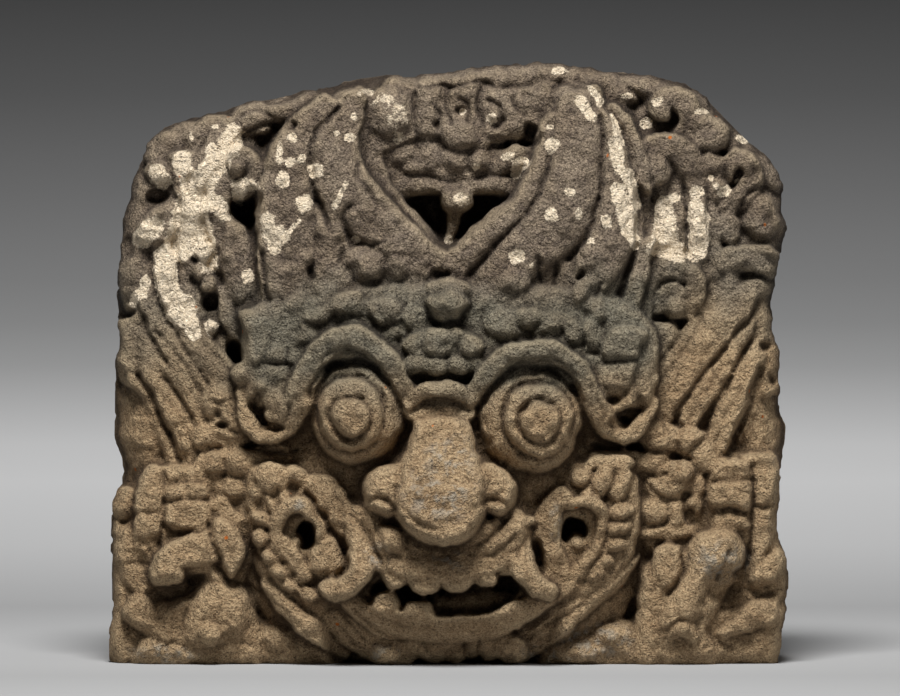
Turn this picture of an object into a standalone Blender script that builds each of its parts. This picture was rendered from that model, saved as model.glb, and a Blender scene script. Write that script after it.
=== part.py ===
"""Kirtimukha: the guardian face of a temple doorway, carved on one block of porous volcanic stone.

Metres, +Z up. The face looks along -Y, the block stands on its flat underside, and the origin is the middle of
that underside. The carving is drawn first, as a carver draws it on the squared face of the block: points are
(across, down) in millimetres at full size, from the top left corner of the drawing sheet, and each form has a
height over the sheet's ground. The brushes below lay each form on a grid of heights, the grid becomes the front
of the stone, and the dressed block behind it cuts the sides, the bed and the back.
"""

import bmesh
import bpy
import numpy as np

# The stone's real size
STONE_WIDTH = 0.694
STONE_HEIGHT = 0.612
RELIEF_DEPTH = 0.200
BLOCK_DEPTH = 0.200

# The drawing that the sizes above stretch, in millimetres
DRAWN_WIDTH = 694.0
DRAWN_HEIGHT = 612.0
DRAWN_RELIEF = 200.0
MIDDLE_LINE = 449.0
BED_LINE = 668.0
LEFT, RIGHT, HIGH, LOW = 80.0, 820.0, 30.0, 700.0
OPEN_GROUND = -400.0

# The drawing is what the eye sees from this far in front of the chin and this high over the bed
VIEW_DISTANCE = 6000.0
VIEW_HEIGHT = 320.0
CHIN_RELIEF = 145.0

# How the block is dressed: height over the ground of the sheet, and the share of the front's outline
DRESSING = ((260.0, 1.06), (40.0, 1.035), (-20.0, 1.0), (-90.0, 0.985), (-190.0, 0.945))
GROUND = 30.0
EDGE_ROUND = 36.0
EDGE_DROP = 42.0
BED_ROUND = 22.0
RIM_STEP = 22.0
BED_CLEAR = 0.004

# The mesh
DRAWING_STEP = 4.0
WEAR = 1.6
FUSE_STEP = 0.0046
FACET_SHARE = 0.032

U, V = np.meshgrid(
    np.arange(LEFT, RIGHT + DRAWING_STEP / 2, DRAWING_STEP),
    np.arange(HIGH, LOW + DRAWING_STEP / 2, DRAWING_STEP),
    indexing="ij",
)
H = np.full(U.shape, OPEN_GROUND)


def window(u0, u1, v0, v1):
    """The part of the grid that a brush reaches."""
    i0, i1 = (int(np.clip((u - LEFT) / DRAWING_STEP + e, 0, U.shape[0])) for u, e in ((u0, 0), (u1, 2)))
    j0, j1 = (int(np.clip((v - HIGH) / DRAWING_STEP + e, 0, U.shape[1])) for v, e in ((v0, 0), (v1, 2)))
    return slice(i0, i1), slice(j0, j1)


def smooth(points, gap=4.0, closed=False):
    """A smooth line through the points, whose rows are across, down and any values that go along."""
    p = np.array(points, float)
    if closed:
        p = np.vstack([p[-1], p, p[0], p[1]])
    else:
        p = np.vstack([2 * p[0] - p[1], p, 2 * p[-1] - p[-2]])
    out = []
    for a, b, c, d in zip(p, p[1:], p[2:], p[3:]):
        count = max(1, int(np.hypot(*(c - b)[:2]) / gap))
        for t in np.arange(count) / count:
            square = 2 * a - 5 * b + 4 * c - d
            cube = 3 * b - a - 3 * c + d
            out.append(0.5 * (2 * b + (c - a) * t + square * t ** 2 + cube * t ** 3))
    out.append(p[-2])
    return np.array(out)


def near(line, reach):
    """The window round a line, each point's distance from it as far as reach, and the line's values there."""
    lows = line[:, :2].min(0) - reach
    highs = line[:, :2].max(0) + reach
    at = window(lows[0], highs[0], lows[1], highs[1])
    best = np.full(U[at].shape, np.inf)
    values = np.zeros(best.shape + (line.shape[1] - 2,))
    for a, b in zip(line, line[1:]):
        low = np.minimum(a, b)[:2] - reach
        high = np.maximum(a, b)[:2] + reach
        part = window(low[0], high[0], low[1], high[1])
        here = tuple(slice(p.start - w.start, p.stop - w.start) for p, w in zip(part, at))
        du, dv = (b - a)[:2]
        u, v = U[part] - a[0], V[part] - a[1]
        t = np.clip((u * du + v * dv) / max(du * du + dv * dv, 1e-9), 0, 1)
        d = np.hypot(u - t * du, v - t * dv)
        closer = d < best[here]
        best[here] = np.where(closer, d, best[here])
        values[here] = np.where(closer[..., None], a[2:] + t[..., None] * (b - a)[2:], values[here])
    return at, best, values


def oval(u, v, ru, rv, turn=0.0, square=2.0):
    """The window round an oval, and 0 at its middle to 1 at its rim."""
    reach = max(ru, rv)
    at = window(u - reach, u + reach, v - reach, v + reach)
    c, s = np.cos(np.radians(turn)), np.sin(np.radians(turn))
    x = (U[at] - u) * c - (V[at] - v) * s
    y = (U[at] - u) * s + (V[at] - v) * c
    return at, np.abs(x / ru) ** square + np.abs(y / rv) ** square


def lump(u, v, ru, rv, top, rise=None, turn=0.0, square=2.0):
    """A rounded lump whose crest stands at top, and which is rise high. turn is anticlockwise, in degrees."""
    rise = min(ru, rv) if rise is None else rise
    at, d = oval(u, v, ru, rv, turn, square)
    s = top - rise + rise * np.sqrt(np.clip(1 - d, 0, 1))
    H[at] = np.where(d < 1, np.maximum(H[at], s), H[at])


def pit(u, v, ru, rv, depth, turn=0.0, wall=3.0):
    """A sunk oval."""
    at, d = oval(u, v, ru, rv, turn)
    H[at] -= depth * np.clip((1 - d) * wall, 0, 1)


def ridge(points, roundness=0.9):
    """A roll of stone through points of (across, down, crest, half width)."""
    line = smooth(points)
    at, d, values = near(line, line[:, 3].max() + 2)
    top, w = values[..., 0], values[..., 1]
    t = np.clip(d / np.maximum(w, 0.5), 0, 1)
    s = top - w * roundness * (1 - np.sqrt(1 - t * t))
    H[at] = np.where(d < w, np.maximum(H[at], s), H[at])


def strand(points, rise):
    """A raised line laid on what is there, through points of (across, down, half width)."""
    line = smooth(points)
    at, d, values = near(line, line[:, 2].max() + 2)
    t = np.clip(d / np.maximum(values[..., 0], 0.5), 0, 1)
    H[at] += rise * np.sqrt(1 - t * t) * (values[..., 0] / line[:, 2].max())


def groove(points, depth):
    """A cut line through points of (across, down, half width)."""
    line = smooth(points)
    at, d, values = near(line, line[:, 2].max() + 2)
    t = np.clip(d / np.maximum(values[..., 0], 0.5), 0, 1)
    H[at] -= depth * (1 - t) * (0.4 + 0.6 * values[..., 0] / line[:, 2].max())


def inside(outline, reach=70.0):
    """The window of a closed outline, and how far inside it each point lies."""
    line = smooth(outline, closed=True)
    at, d, _ = near(line, reach)
    u, v = U[at], V[at]
    odd = np.zeros(u.shape, bool)
    for (u0, v0), (u1, v1) in zip(line[:, :2], np.roll(line[:, :2], -1, 0)):
        if v0 != v1:
            crosses = (v0 > v) != (v1 > v)
            odd ^= crosses & (u < u0 + (v - v0) / (v1 - v0) * (u1 - u0))
    return at, np.where(odd, d, -d)


def slab(outline, top, edge, rise=None, lean=(0.0, 0.0), about=None):
    """A raised field with a rounded edge. lean is how much its top climbs per millimetre across and down."""
    rise = edge if rise is None else rise
    at, d = inside(outline)
    cu, cv = about or np.array(outline, float)[:, :2].mean(0)
    t = np.clip(1 - d / edge, 0, 1)
    s = top + lean[0] * (U[at] - cu) + lean[1] * (V[at] - cv) - rise * (1 - np.sqrt(1 - t * t))
    H[at] = np.where(d > 0, np.maximum(H[at], s), H[at])


def sink(outline, depth, edge=6.0):
    """A sunk field."""
    at, d = inside(outline)
    H[at] -= depth * np.clip(d / edge, 0, 1)


def turned(u, v, ru, rv, profile):
    """A turned form: profile is (share of the radius, height), from the middle out."""
    at, d = oval(u, v, ru, rv)
    share, height = np.array(profile, float).T
    s = np.interp(np.sqrt(d), share, height)
    H[at] = np.where(d < 1, s, H[at])


def blur(h, sigma):
    """The heights, worn softer."""
    sigma = sigma / DRAWING_STEP
    n = max(1, int(3 * sigma))
    k = np.exp(-0.5 * (np.arange(-n, n + 1) / sigma) ** 2)
    k /= k.sum()
    for _ in range(2):
        wide = np.pad(h, ((n, n), (0, 0)), mode="edge")
        h = sum(share * wide[i:i + h.shape[0]] for i, share in enumerate(k)).T
    return h


# The outline of the block's front, from its lower left corner round to its lower right
OUTLINE = [
    (134, 700), (120, 686), (111, 664), (107, 630), (107, 590), (107, 545), (111, 500), (119, 470), (111, 430), (110, 380),
    (115, 335), (114, 290), (120, 240), (123, 210), (133, 168), (147, 137), (172, 120), (235, 102), (300, 88), (375, 72),
    (465, 66), (550, 59), (630, 70), (690, 83), (718, 108), (742, 132), (764, 150), (782, 182), (785, 220), (777, 260),
    (770, 310), (778, 350), (779, 390), (785, 430), (779, 490), (779, 535), (786, 565), (784, 600), (779, 640), (771, 664),
    (762, 686), (750, 700), (600, 704), (300, 704),
]


def block():
    """The squared face inside its outline, with its edges worn round, under whatever stands on it."""
    at, d = inside(OUTLINE)
    t = np.clip(1 - d / EDGE_ROUND, 0, 1)
    face = np.maximum(H[at], GROUND) - EDGE_DROP * (1 - np.sqrt(1 - t * t))
    H[:] = OPEN_GROUND
    H[at] = np.where(d > 0, face, OPEN_GROUND)


def masses():
    slab([(238, 420), (236, 330), (245, 250), (258, 170), (285, 118), (340, 90), (400, 78), (470, 70), (540, 66), (600, 72),
          (636, 110), (648, 200), (655, 300), (652, 420), (560, 460), (330, 460)], 88, 60, 45, (0.0, 0.07), (444, 300))
    lump(442, 532, 200, 142, 128, 62, 0, 2.6)
    lump(176, 575, 72, 116, 58, 40, 0, 3)
    lump(735, 565, 62, 120, 60, 40, 0, 3)
    lump(150, 425, 42, 60, 40, 22)
    lump(762, 425, 34, 60, 42, 22)
    lump(176, 290, 70, 150, 46, 22, 0, 3)
    lump(715, 260, 66, 150, 48, 22, 0, 3)
    lump(215, 400, 34, 90, 56, 30)
    lump(672, 400, 34, 90, 58, 30)


def eyes():
    rings = [(0.0, 152), (0.3, 150), (0.42, 146), (0.47, 141), (0.52, 145), (0.62, 143), (0.72, 136), (0.77, 128),
             (0.82, 132), (0.9, 127), (0.96, 117), (1.0, 100)]
    turned(355, 412, 46, 50, rings)
    turned(530, 417, 49, 52, rings)
    groove([(330, 402, 3), (346, 394, 3), (362, 398, 3), (372, 412, 2.5)], 4)
    groove([(512, 398, 3), (532, 390, 3), (552, 398, 3), (560, 416, 2.5)], 4)


def brows():
    left = [(440, 388), (424, 390), (409, 403), (398, 385), (385, 362), (368, 346), (347, 340), (325, 344), (309, 360),
            (303, 385), (302, 412), (290, 432), (266, 441), (249, 424), (242, 400), (244, 380)]
    right = [(440, 388), (456, 390), (470, 402), (482, 382), (497, 361), (515, 349), (536, 346), (558, 352), (576, 368),
             (589, 392), (598, 418), (614, 438), (634, 436), (648, 418), (652, 396), (648, 378)]
    for path in (left, right):
        tops = np.interp(np.arange(len(path)), [0, 2, 5, 9, len(path) - 1], [134, 132, 135, 122, 108])
        ridge([(u, v + 11, t - 26, 11) for (u, v), t in zip(path, tops)])
        ridge([(u, v, t, 10.5) for (u, v), t in zip(path, tops)], 0.8)
        groove([(u, v - 3, 2.6) for u, v in path[2:12]], 3)
    pit(269, 428, 11, 8, 22)
    slab([(257, 378), (270, 374), (281, 386), (284, 406), (274, 417), (258, 414), (254, 395)], 121, 10)
    groove([(262, 385, 3), (268, 397, 3), (263, 410, 3)], 5)
    pit(620, 424, 11, 9, 24)
    ridge([(600, 392, 112, 8), (618, 386, 114, 8), (634, 384, 112, 7), (632, 404, 112, 7), (616, 408, 108, 8), (602, 408, 106, 7)])
    ridge([(222, 452, 84, 13), (250, 455, 88, 14), (282, 448, 88, 10)])
    ridge([(586, 448, 92, 9), (612, 458, 92, 13), (640, 456, 86, 11)])


def nose():
    slab([(412, 416), (440, 411), (466, 416), (474, 436), (481, 466), (500, 498), (472, 532), (440, 542), (406, 528), (384, 498),
          (399, 462), (404, 434)], 166, 30, 44, (0.0, 0.42), (440, 470))
    lump(441, 496, 42, 46, 200, 54)
    lump(383, 487, 24, 29, 168, 40)
    lump(491, 486, 25, 28, 168, 40)
    ridge([(364, 500, 150, 6), (374, 514, 156, 7), (392, 510, 166, 7), (404, 519, 174, 7), (420, 535, 180, 7), (444, 542, 182, 7),
           (470, 535, 178, 7), (482, 520, 166, 6)], 1.0)
    ridge([(482, 506, 162, 6), (494, 502, 164, 6), (508, 506, 160, 7)])
    pit(491, 514, 9, 6, 30)
    pit(410, 508, 7, 5, 14)


def mouth():
    pit(436, 590, 78, 21, 46, 0, 2.2)
    ridge([(370, 520, 118, 8), (382, 540, 130, 10), (402, 556, 138, 10), (438, 564, 142, 10), (476, 560, 138, 10), (508, 546, 130, 9),
           (530, 528, 122, 7)])
    lump(386, 536, 17, 18, 140, 18)
    lump(494, 540, 26, 14, 140, 16, 28)
    ridge([(356, 528, 122, 5), (366, 548, 128, 6), (384, 566, 132, 6)])
    ridge([(370, 572, 124, 6), (400, 575, 134, 7), (440, 577, 138, 7), (480, 573, 134, 7), (506, 566, 128, 6)])
    for u, v, r in ((390, 578, 12), (420, 584, 15), (451, 584, 13), (482, 580, 14)):
        lump(u, v, r, 10, 132, 14)
    lump(384, 601, 15, 10, 124, 14)
    lump(417, 609, 15, 9, 124, 14)
    ridge([(342, 592, 108, 8), (362, 606, 118, 9), (392, 622, 126, 10), (432, 630, 130, 11), (476, 629, 130, 11), (514, 616, 124, 10),
           (546, 598, 112, 8), (572, 580, 104, 6)])
    groove([(358, 615, 3), (392, 634, 3), (436, 643, 3), (484, 642, 3), (530, 626, 3), (575, 600, 2)], 7)
    groove([(340, 606, 2.5), (352, 622, 2.5), (366, 634, 2.5)], 5)
    ridge([(352, 612, 112, 6), (380, 634, 120, 6), (400, 643, 122, 6)])
    lump(384, 656, 19, 12, 132, 16)
    for u, v, r in ((412, 650, 10), (428, 655, 11), (447, 655, 11), (468, 652, 12), (490, 652, 14), (516, 648, 14)):
        lump(u, v, r, 13, 124, 12)
    ridge([(530, 645, 104, 7), (545, 628, 108, 7), (556, 612, 106, 7), (540, 622, 108, 5)])


def tusks():
    ridge([(345, 512, 116, 8), (352, 528, 130, 11), (357, 552, 140, 13), (356, 574, 144, 14), (346, 588, 144, 14), (330, 592, 136, 11)],
          1.0)
    ridge([(516, 522, 122, 9), (512, 545, 136, 14), (518, 568, 144, 15), (532, 584, 144, 14), (548, 592, 138, 10)], 1.0)
    groove([(345, 530, 3), (345, 550, 3), (340, 566, 3)], 4)
    groove([(525, 540, 3), (528, 558, 3), (538, 572, 3)], 4)


def cheeks():
    ridge([(272, 540, 112, 7), (275, 518, 118, 7), (288, 504, 120, 7), (304, 506, 120, 8), (314, 520, 118, 8), (316, 542, 116, 8),
           (306, 556, 112, 7)])
    pit(303, 531, 14, 17, 62, -20, 3)
    lump(294, 536, 8, 10, 112, 40)
    slab([(318, 545), (330, 534), (339, 548), (338, 574), (324, 582), (312, 572)], 116, 9)
    ridge([(300, 480, 104, 8), (318, 482, 112, 11), (332, 500, 118, 12), (338, 520, 122, 10)])
    groove([(306, 492, 3), (320, 505, 3), (326, 525, 3)], 5)
    for i in range(3):
        strand([(266 + 7 * i, 530 + 12 * i, 4), (280 + 7 * i, 552 + 10 * i, 5), (300 + 6 * i, 576 + 8 * i, 4)], 6)
    strand([(260, 570, 4), (285, 602, 6), (320, 625, 5), (352, 645, 4)], 7)
    groove([(262, 580, 3), (290, 612, 3), (325, 636, 3)], 5)
    for u, v, r in ((263, 484, 10), (278, 478, 10), (292, 490, 9), (262, 505, 10), (258, 522, 9), (262, 540, 10), (271, 554, 9),
                    (280, 568, 9), (274, 492, 8), (290, 580, 8)):
        lump(u, v, r + 1, r, 106, 11)
    ridge([(560, 520, 112, 7), (572, 508, 120, 8), (588, 507, 120, 8), (602, 518, 116, 8), (608, 540, 112, 8), (600, 562, 112, 8),
           (580, 574, 114, 8), (558, 568, 116, 8)])
    pit(573, 527, 15, 12, 60, 0, 3)
    lump(577, 545, 13, 13, 116, 34)
    ridge([(545, 528, 120, 8), (547, 505, 124, 11), (558, 490, 124, 12), (566, 488, 120, 9)])
    for u, v, r, turn in ((584, 482, 11, 40), (598, 476, 12, 30), (614, 478, 12, 0), (626, 490, 11, -30), (612, 496, 10, -20),
                          (598, 492, 10, 40), (622, 514, 11, -50), (618, 534, 11, 10), (622, 552, 10, 20), (608, 568, 9, 30)):
        lump(u, v, r + 2, r - 3, 106, 11, turn)
    groove([(545, 545, 3), (556, 575, 3), (580, 590, 3), (604, 582, 3), (620, 560, 3)], 5)
    groove([(598, 545, 2.5), (590, 565, 2.5), (575, 575, 2)], 4)


def horns():
    left = [(252, 344), (250, 300), (252, 250), (258, 205), (268, 168), (284, 136), (304, 108), (332, 88), (362, 80), (378, 96),
            (372, 120), (382, 152), (398, 196), (420, 232), (442, 258), (432, 300), (380, 300), (320, 305), (285, 340)]
    right = [(638, 330), (640, 280), (638, 225), (634, 180), (624, 140), (612, 106), (590, 84), (562, 76), (548, 92), (545, 128),
             (532, 165), (510, 202), (478, 232), (447, 258), (456, 300), (500, 300), (560, 300), (600, 335)]
    slab(left, 100, 34, 30, (0.0, 0.09), (330, 240))
    slab(right, 102, 34, 30, (0.0, 0.09), (560, 240))
    for line in ([(444, 262), (412, 226), (392, 190), (378, 152), (372, 118)], [(428, 286), (392, 245), (370, 200), (358, 150), (360, 105)],
                 [(356, 290), (341, 240), (338, 190), (344, 140), (352, 100)], [(322, 300), (306, 250), (308, 200), (318, 150), (338, 105)],
                 [(285, 340), (268, 290), (262, 250), (272, 200), (286, 150), (318, 108)]):
        groove([(u, v, 3.2) for u, v in line], 7)
    for line in ([(446, 264), (482, 228), (512, 196), (534, 160), (546, 120)], [(470, 285), (500, 244), (530, 200), (548, 160), (560, 110)],
                 [(560, 300), (582, 240), (596, 190), (600, 140), (592, 100)], [(540, 295), (560, 250), (578, 200), (582, 150), (576, 105)],
                 [(600, 330), (622, 280), (632, 240), (622, 180), (610, 130)], [(612, 320), (632, 270), (636, 235)]):
        groove([(u, v, 3.2) for u, v in line], 7)
    lump(364, 270, 22, 18, 116, 20)
    lump(390, 275, 14, 14, 110, 14)
    lump(297, 292, 13, 20, 108, 16)
    lump(519, 285, 26, 15, 116, 18)
    lump(488, 300, 14, 10, 108, 12)
    ridge([(575, 268, 108, 9), (588, 262, 112, 10), (594, 278, 110, 9), (584, 290, 106, 7)])
    lump(597, 310, 12, 12, 110, 14)
    ridge([(560, 245, 104, 7), (566, 265, 108, 8), (570, 290, 106, 7)])


def gap():
    sink([(398, 196), (392, 178), (388, 150), (410, 138), (450, 128), (500, 132), (530, 140), (545, 128), (532, 165), (510, 202),
          (478, 232), (452, 252), (420, 226)], 62, 9)
    sink([(516, 118), (540, 108), (552, 122), (546, 144), (520, 142)], 40, 8)
    for i in range(7):
        lump(394 + 21 * i, 160 - 5 * np.sin(i / 6 * np.pi), 14, 12, 62, 14)
        lump(398 + 20 * i, 177 - 3 * np.sin(i / 6 * np.pi), 13, 9, 66, 12)
    ridge([(388, 188, 54, 6), (420, 182, 58, 7), (455, 180, 60, 7), (495, 184, 58, 7), (516, 190, 54, 6)])
    lump(457, 132, 16, 11, 72, 14)
    lump(446, 138, 9, 7, 66, 9)
    lump(468, 138, 9, 7, 66, 9)
    lump(452, 195, 13, 15, 76, 18)
    lump(451, 216, 9, 24, 60, 14)
    lump(392, 118, 22, 26, 78, 24)


def forehead():
    lump(444, 305, 20, 20, 148, 24)
    slab([(412, 330), (430, 322), (446, 326), (462, 322), (478, 332), (480, 352), (470, 370), (444, 378), (420, 370), (410, 350)],
         130, 14, 18)
    for u, v in ((424, 338), (440, 332), (458, 334), (470, 345), (418, 354), (470, 360), (432, 368), (450, 370)):
        lump(u, v, 10, 9, 134, 10)
    groove([(432, 345, 3), (445, 352, 3), (458, 346, 3)], 5)
    arcs = [(356, 412, 94, 84, 165, 40, 10, 118, 12), (356, 412, 116, 104, 158, 52, 10, 110, 12),
            (530, 417, 96, 88, 140, 18, 10, 118, 12), (530, 417, 114, 108, 130, 30, 9, 110, 12)]
    for cu, cv, ru, rv, start, end, count, top, r in arcs:
        for i in range(count):
            a = np.radians(start + (end - start) * i / (count - 1))
            lump(cu + ru * np.cos(a), cv - rv * np.sin(a), r, r * 0.9, top, r * 0.9)
    for u, v, ru, rv, top in ((272, 345, 14, 14, 104), (262, 362, 12, 10, 104), (286, 362, 12, 11, 106), (236, 370, 8, 10, 92),
                              (256, 325, 14, 16, 98), (606, 350, 18, 18, 108), (612, 376, 16, 10, 106), (640, 345, 9, 14, 96),
                              (644, 372, 10, 12, 94), (625, 330, 16, 14, 104), (580, 335, 16, 14, 110)):
        lump(u, v, ru, rv, top, min(ru, rv))


def crown():
    for u, v, ru, rv, top in ((428, 92, 18, 14, 60), (430, 118, 16, 18, 66), (466, 88, 18, 18, 62), (466, 112, 12, 12, 64),
                              (492, 108, 14, 18, 66), (500, 130, 14, 12, 60), (520, 80, 26, 18, 58), (540, 104, 16, 14, 64),
                              (440, 76, 30, 12, 44), (500, 72, 34, 12, 46), (560, 70, 34, 12, 44), (600, 74, 30, 12, 42),
                              (620, 86, 18, 14, 50), (400, 80, 24, 12, 44), (480, 134, 12, 10, 60), (510, 104, 12, 12, 66)):
        lump(u, v, ru, rv, top, min(ru, rv))
    lump(660, 86, 34, 14, 50, 16)
    ridge([(636, 104, 56, 9), (650, 92, 62, 11), (672, 92, 64, 12), (680, 106, 62, 12), (664, 110, 60, 10)])
    pit(650, 108, 6, 5, 16)
    ridge([(642, 158, 62, 12), (650, 146, 68, 14), (668, 146, 72, 16), (682, 158, 70, 14), (680, 172, 64, 12)])
    lump(656, 162, 15, 15, 76, 20)
    sink([(634, 176), (654, 176), (662, 190), (648, 196), (634, 192)], 34, 6)
    ridge([(690, 96, 56, 10), (704, 112, 60, 12), (716, 126, 60, 12), (706, 138, 58, 14), (690, 136, 56, 10)])
    ridge([(700, 156, 58, 9), (722, 154, 64, 11), (742, 164, 62, 12), (746, 180, 58, 12), (732, 194, 56, 12), (716, 188, 54, 8)])
    lump(724, 176, 12, 14, 64, 14)
    lump(764, 172, 24, 30, 46, 26)
    lump(762, 208, 24, 24, 50, 28)
    lump(740, 145, 26, 18, 40, 20)
    lump(728, 225, 14, 16, 58, 16)
    lump(756, 232, 30, 12, 40, 16)
    ridge([(722, 262, 56, 13), (742, 252, 62, 15), (762, 262, 58, 17), (772, 276, 46, 14)])
    sink([(716, 196), (728, 196), (734, 206), (722, 212)], 20, 5)


def left_side():
    ridge([(196, 132, 50, 14), (190, 180, 56, 15), (188, 230, 58, 15), (184, 280, 60, 14), (180, 315, 58, 10)], 0.7)
    ridge([(226, 130, 52, 13), (212, 170, 58, 15), (212, 220, 60, 14), (214, 256, 58, 10)], 0.7)
    ridge([(168, 150, 52, 12), (172, 190, 56, 12), (168, 240, 56, 13), (164, 290, 58, 12), (174, 312, 56, 9)], 0.7)
    ridge([(236, 240, 54, 16), (232, 290, 60, 18), (236, 340, 62, 16)], 0.6)
    ridge([(240, 150, 62, 16), (252, 168, 68, 16), (246, 186, 68, 14), (232, 182, 64, 11)], 1.0)
    lump(240, 168, 16, 14, 66, 16)
    sink([(228, 200), (244, 198), (256, 194), (254, 222), (244, 236), (232, 218)], 40, 7)
    lump(158, 168, 17, 15, 60, 20)
    lump(150, 150, 14, 14, 44, 16)
    sink([(144, 182), (164, 180), (166, 196), (150, 200), (142, 194)], 30, 6)
    ridge([(130, 214, 44, 12), (146, 212, 54, 14), (164, 206, 56, 12)])
    ridge([(128, 232, 40, 9), (146, 236, 48, 10), (164, 230, 52, 9)])
    sink([(134, 244), (150, 246), (144, 258), (130, 258)], 18, 5)
    ridge([(122, 268, 40, 11), (136, 260, 50, 14), (148, 272, 50, 14), (146, 296, 48, 13), (130, 306, 42, 13), (120, 292, 40, 10)])
    pit(130, 290, 7, 6, 20)
    lump(210, 288, 12, 14, 70, 18)
    lump(205, 265, 10, 10, 64, 12)
    sink([(198, 296), (214, 294), (222, 302), (210, 314), (198, 308)], 22, 5)
    pit(284, 118, 11, 9, 34)
    lump(286, 104, 18, 12, 62, 14)
    lump(125, 340, 13, 22, 40, 18)
    lump(122, 368, 10, 16, 34, 14)
    for a, b, c, w in (((140, 306), (168, 368), (198, 432), 10), ((158, 300), (186, 362), (210, 412), 9), ((172, 322), (196, 368), (214, 398), 7),
                       ((132, 350), (150, 400), (184, 458), 9), ((146, 344), (172, 412), (196, 450), 8)):
        ridge([(*a, 50, w), (*b, 58, w), (*c, 60, w * 0.8)], 0.9)
    ridge([(214, 330, 60, 13), (222, 372, 64, 14), (230, 400, 66, 10)], 0.7)
    for u, v, ru, rv, top in ((228, 395, 18, 14, 74), (222, 420, 16, 14, 76), (204, 432, 12, 14, 74), (236, 432, 10, 16, 72),
                              (212, 458, 16, 14, 78), (236, 462, 18, 14, 78), (204, 478, 9, 16, 74), (233, 486, 16, 14, 78),
                              (216, 442, 22, 10, 74)):
        lump(u, v, ru, rv, top, min(ru, rv))


def right_side():
    ridge([(662, 186, 60, 12), (660, 216, 64, 14), (664, 248, 62, 14)], 0.7)
    ridge([(688, 180, 60, 13), (690, 220, 64, 14), (692, 256, 62, 13)], 0.7)
    ridge([(712, 200, 54, 10), (708, 240, 58, 11), (706, 280, 58, 11)], 0.7)
    ridge([(648, 300, 70, 9), (644, 276, 74, 10), (654, 262, 76, 11), (674, 262, 76, 11), (688, 276, 74, 11), (690, 294, 70, 11),
           (680, 308, 66, 9)], 0.9)
    lump(668, 301, 17, 15, 76, 20)
    ridge([(648, 300, 70, 9), (646, 325, 78, 10), (640, 345, 84, 9)])
    for a, b, c, w, top in (((746, 300), (704, 368), (664, 436), 12, 66), ((722, 300), (688, 350), (656, 398), 12, 66),
                            ((700, 306), (672, 345), (652, 374), 10, 66), ((760, 310), (724, 384), (690, 446), 11, 62),
                            ((766, 340), (738, 400), (708, 462), 10, 56)):
        ridge([(*a, top - 8, w), (*b, top, w), (*c, top, w * 0.8)], 0.9)
    lump(768, 330, 14, 24, 40, 18)
    lump(774, 362, 12, 18, 34, 16)
    lump(770, 388, 10, 10, 34, 10)
    ridge([(720, 286, 60, 10), (742, 280, 60, 12), (752, 292, 56, 12)])
    for u, v, ru, rv, top in ((655, 438, 16, 14, 78), (676, 430, 16, 16, 78), (694, 438, 14, 14, 74), (652, 458, 16, 12, 76),
                              (680, 454, 20, 12, 76), (672, 476, 14, 14, 78), (690, 478, 12, 18, 76), (656, 486, 14, 12, 74),
                              (662, 506, 16, 12, 74), (694, 508, 9, 16, 70), (668, 526, 18, 12, 74), (655, 530, 12, 10, 70)):
        lump(u, v, ru, rv, top, min(ru, rv))


def left_hand():
    ridge([(150, 480, 66, 12), (147, 505, 70, 12), (146, 536, 66, 12)])
    for v, r in ((482, 21), (504, 23), (524, 22)):
        lump(180, v, r, 15, 80, 20)
    lump(122, 496, 13, 16, 44, 14)
    lump(122, 512, 11, 8, 40, 10)
    ridge([(130, 530, 54, 14), (122, 552, 56, 13), (128, 580, 54, 12)])
    ridge([(142, 536, 60, 11), (150, 560, 60, 10)])
    lump(200, 552, 42, 30, 92, 34)
    ridge([(204, 566, 88, 18), (184, 560, 98, 16), (164, 566, 102, 15), (154, 572, 100, 13)])
    sink([(148, 586), (176, 582), (192, 592), (176, 604), (152, 602)], 26, 7)
    slab([(206, 524), (216, 514), (236, 530), (240, 552), (230, 574), (216, 560), (208, 542)], 88, 10)
    groove([(205, 518, 3), (208, 540, 3), (218, 562, 3), (232, 580, 3)], 9)
    lump(214, 608, 40, 42, 98, 46)
    lump(154, 660, 42, 34, 60, 30)
    ridge([(128, 604, 62, 16), (146, 606, 70, 16), (166, 622, 72, 16), (190, 634, 70, 13)])
    lump(174, 650, 17, 9, 74, 10)
    lump(228, 632, 22, 16, 88, 16)
    lump(286, 644, 40, 26, 76, 34)
    lump(320, 656, 34, 18, 68, 26)
    lump(240, 652, 30, 18, 62, 24)
    groove([(182, 590, 3), (184, 615, 3), (196, 640, 3)], 6)


def right_hand():
    for v, r in ((462, 22), (484, 24), (508, 23), (526, 20)):
        lump(728, v, r, 15, 80, 20)
    for v, r in ((466, 15), (488, 16), (514, 15), (534, 14)):
        lump(766, v, r, 15, 62, 18)
    lump(752, 452, 18, 9, 66, 10)
    groove([(747, 470, 3), (748, 500, 3), (746, 530, 3)], 8)
    ridge([(734, 544, 98, 18), (712, 552, 106, 24), (692, 570, 100, 20)], 1.0)
    ridge([(742, 552, 92, 12), (732, 572, 90, 12)])
    ridge([(776, 548, 50, 13), (764, 562, 72, 18), (752, 578, 74, 13)])
    lump(668, 562, 16, 28, 78, 20, 10)
    lump(672, 614, 44, 40, 84, 42)
    ridge([(768, 608, 68, 15), (744, 616, 78, 17), (716, 630, 78, 14)])
    sink([(700, 590), (730, 584), (748, 594), (734, 606), (706, 606)], 22, 8)
    ridge([(666, 634, 90, 6), (680, 626, 98, 8), (694, 632, 92, 7)])
    lump(771, 600, 12, 46, 40, 30)
    lump(740, 656, 50, 22, 62, 24)
    lump(719, 650, 13, 9, 76, 10)
    lump(690, 652, 40, 20, 70, 24)
    slab([(538, 690), (540, 654), (560, 640), (590, 626), (616, 616), (636, 626), (650, 650), (650, 690)], 78, 18, 26)
    lump(580, 656, 30, 14, 86, 18)
    lump(610, 636, 20, 14, 84, 16)


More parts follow.
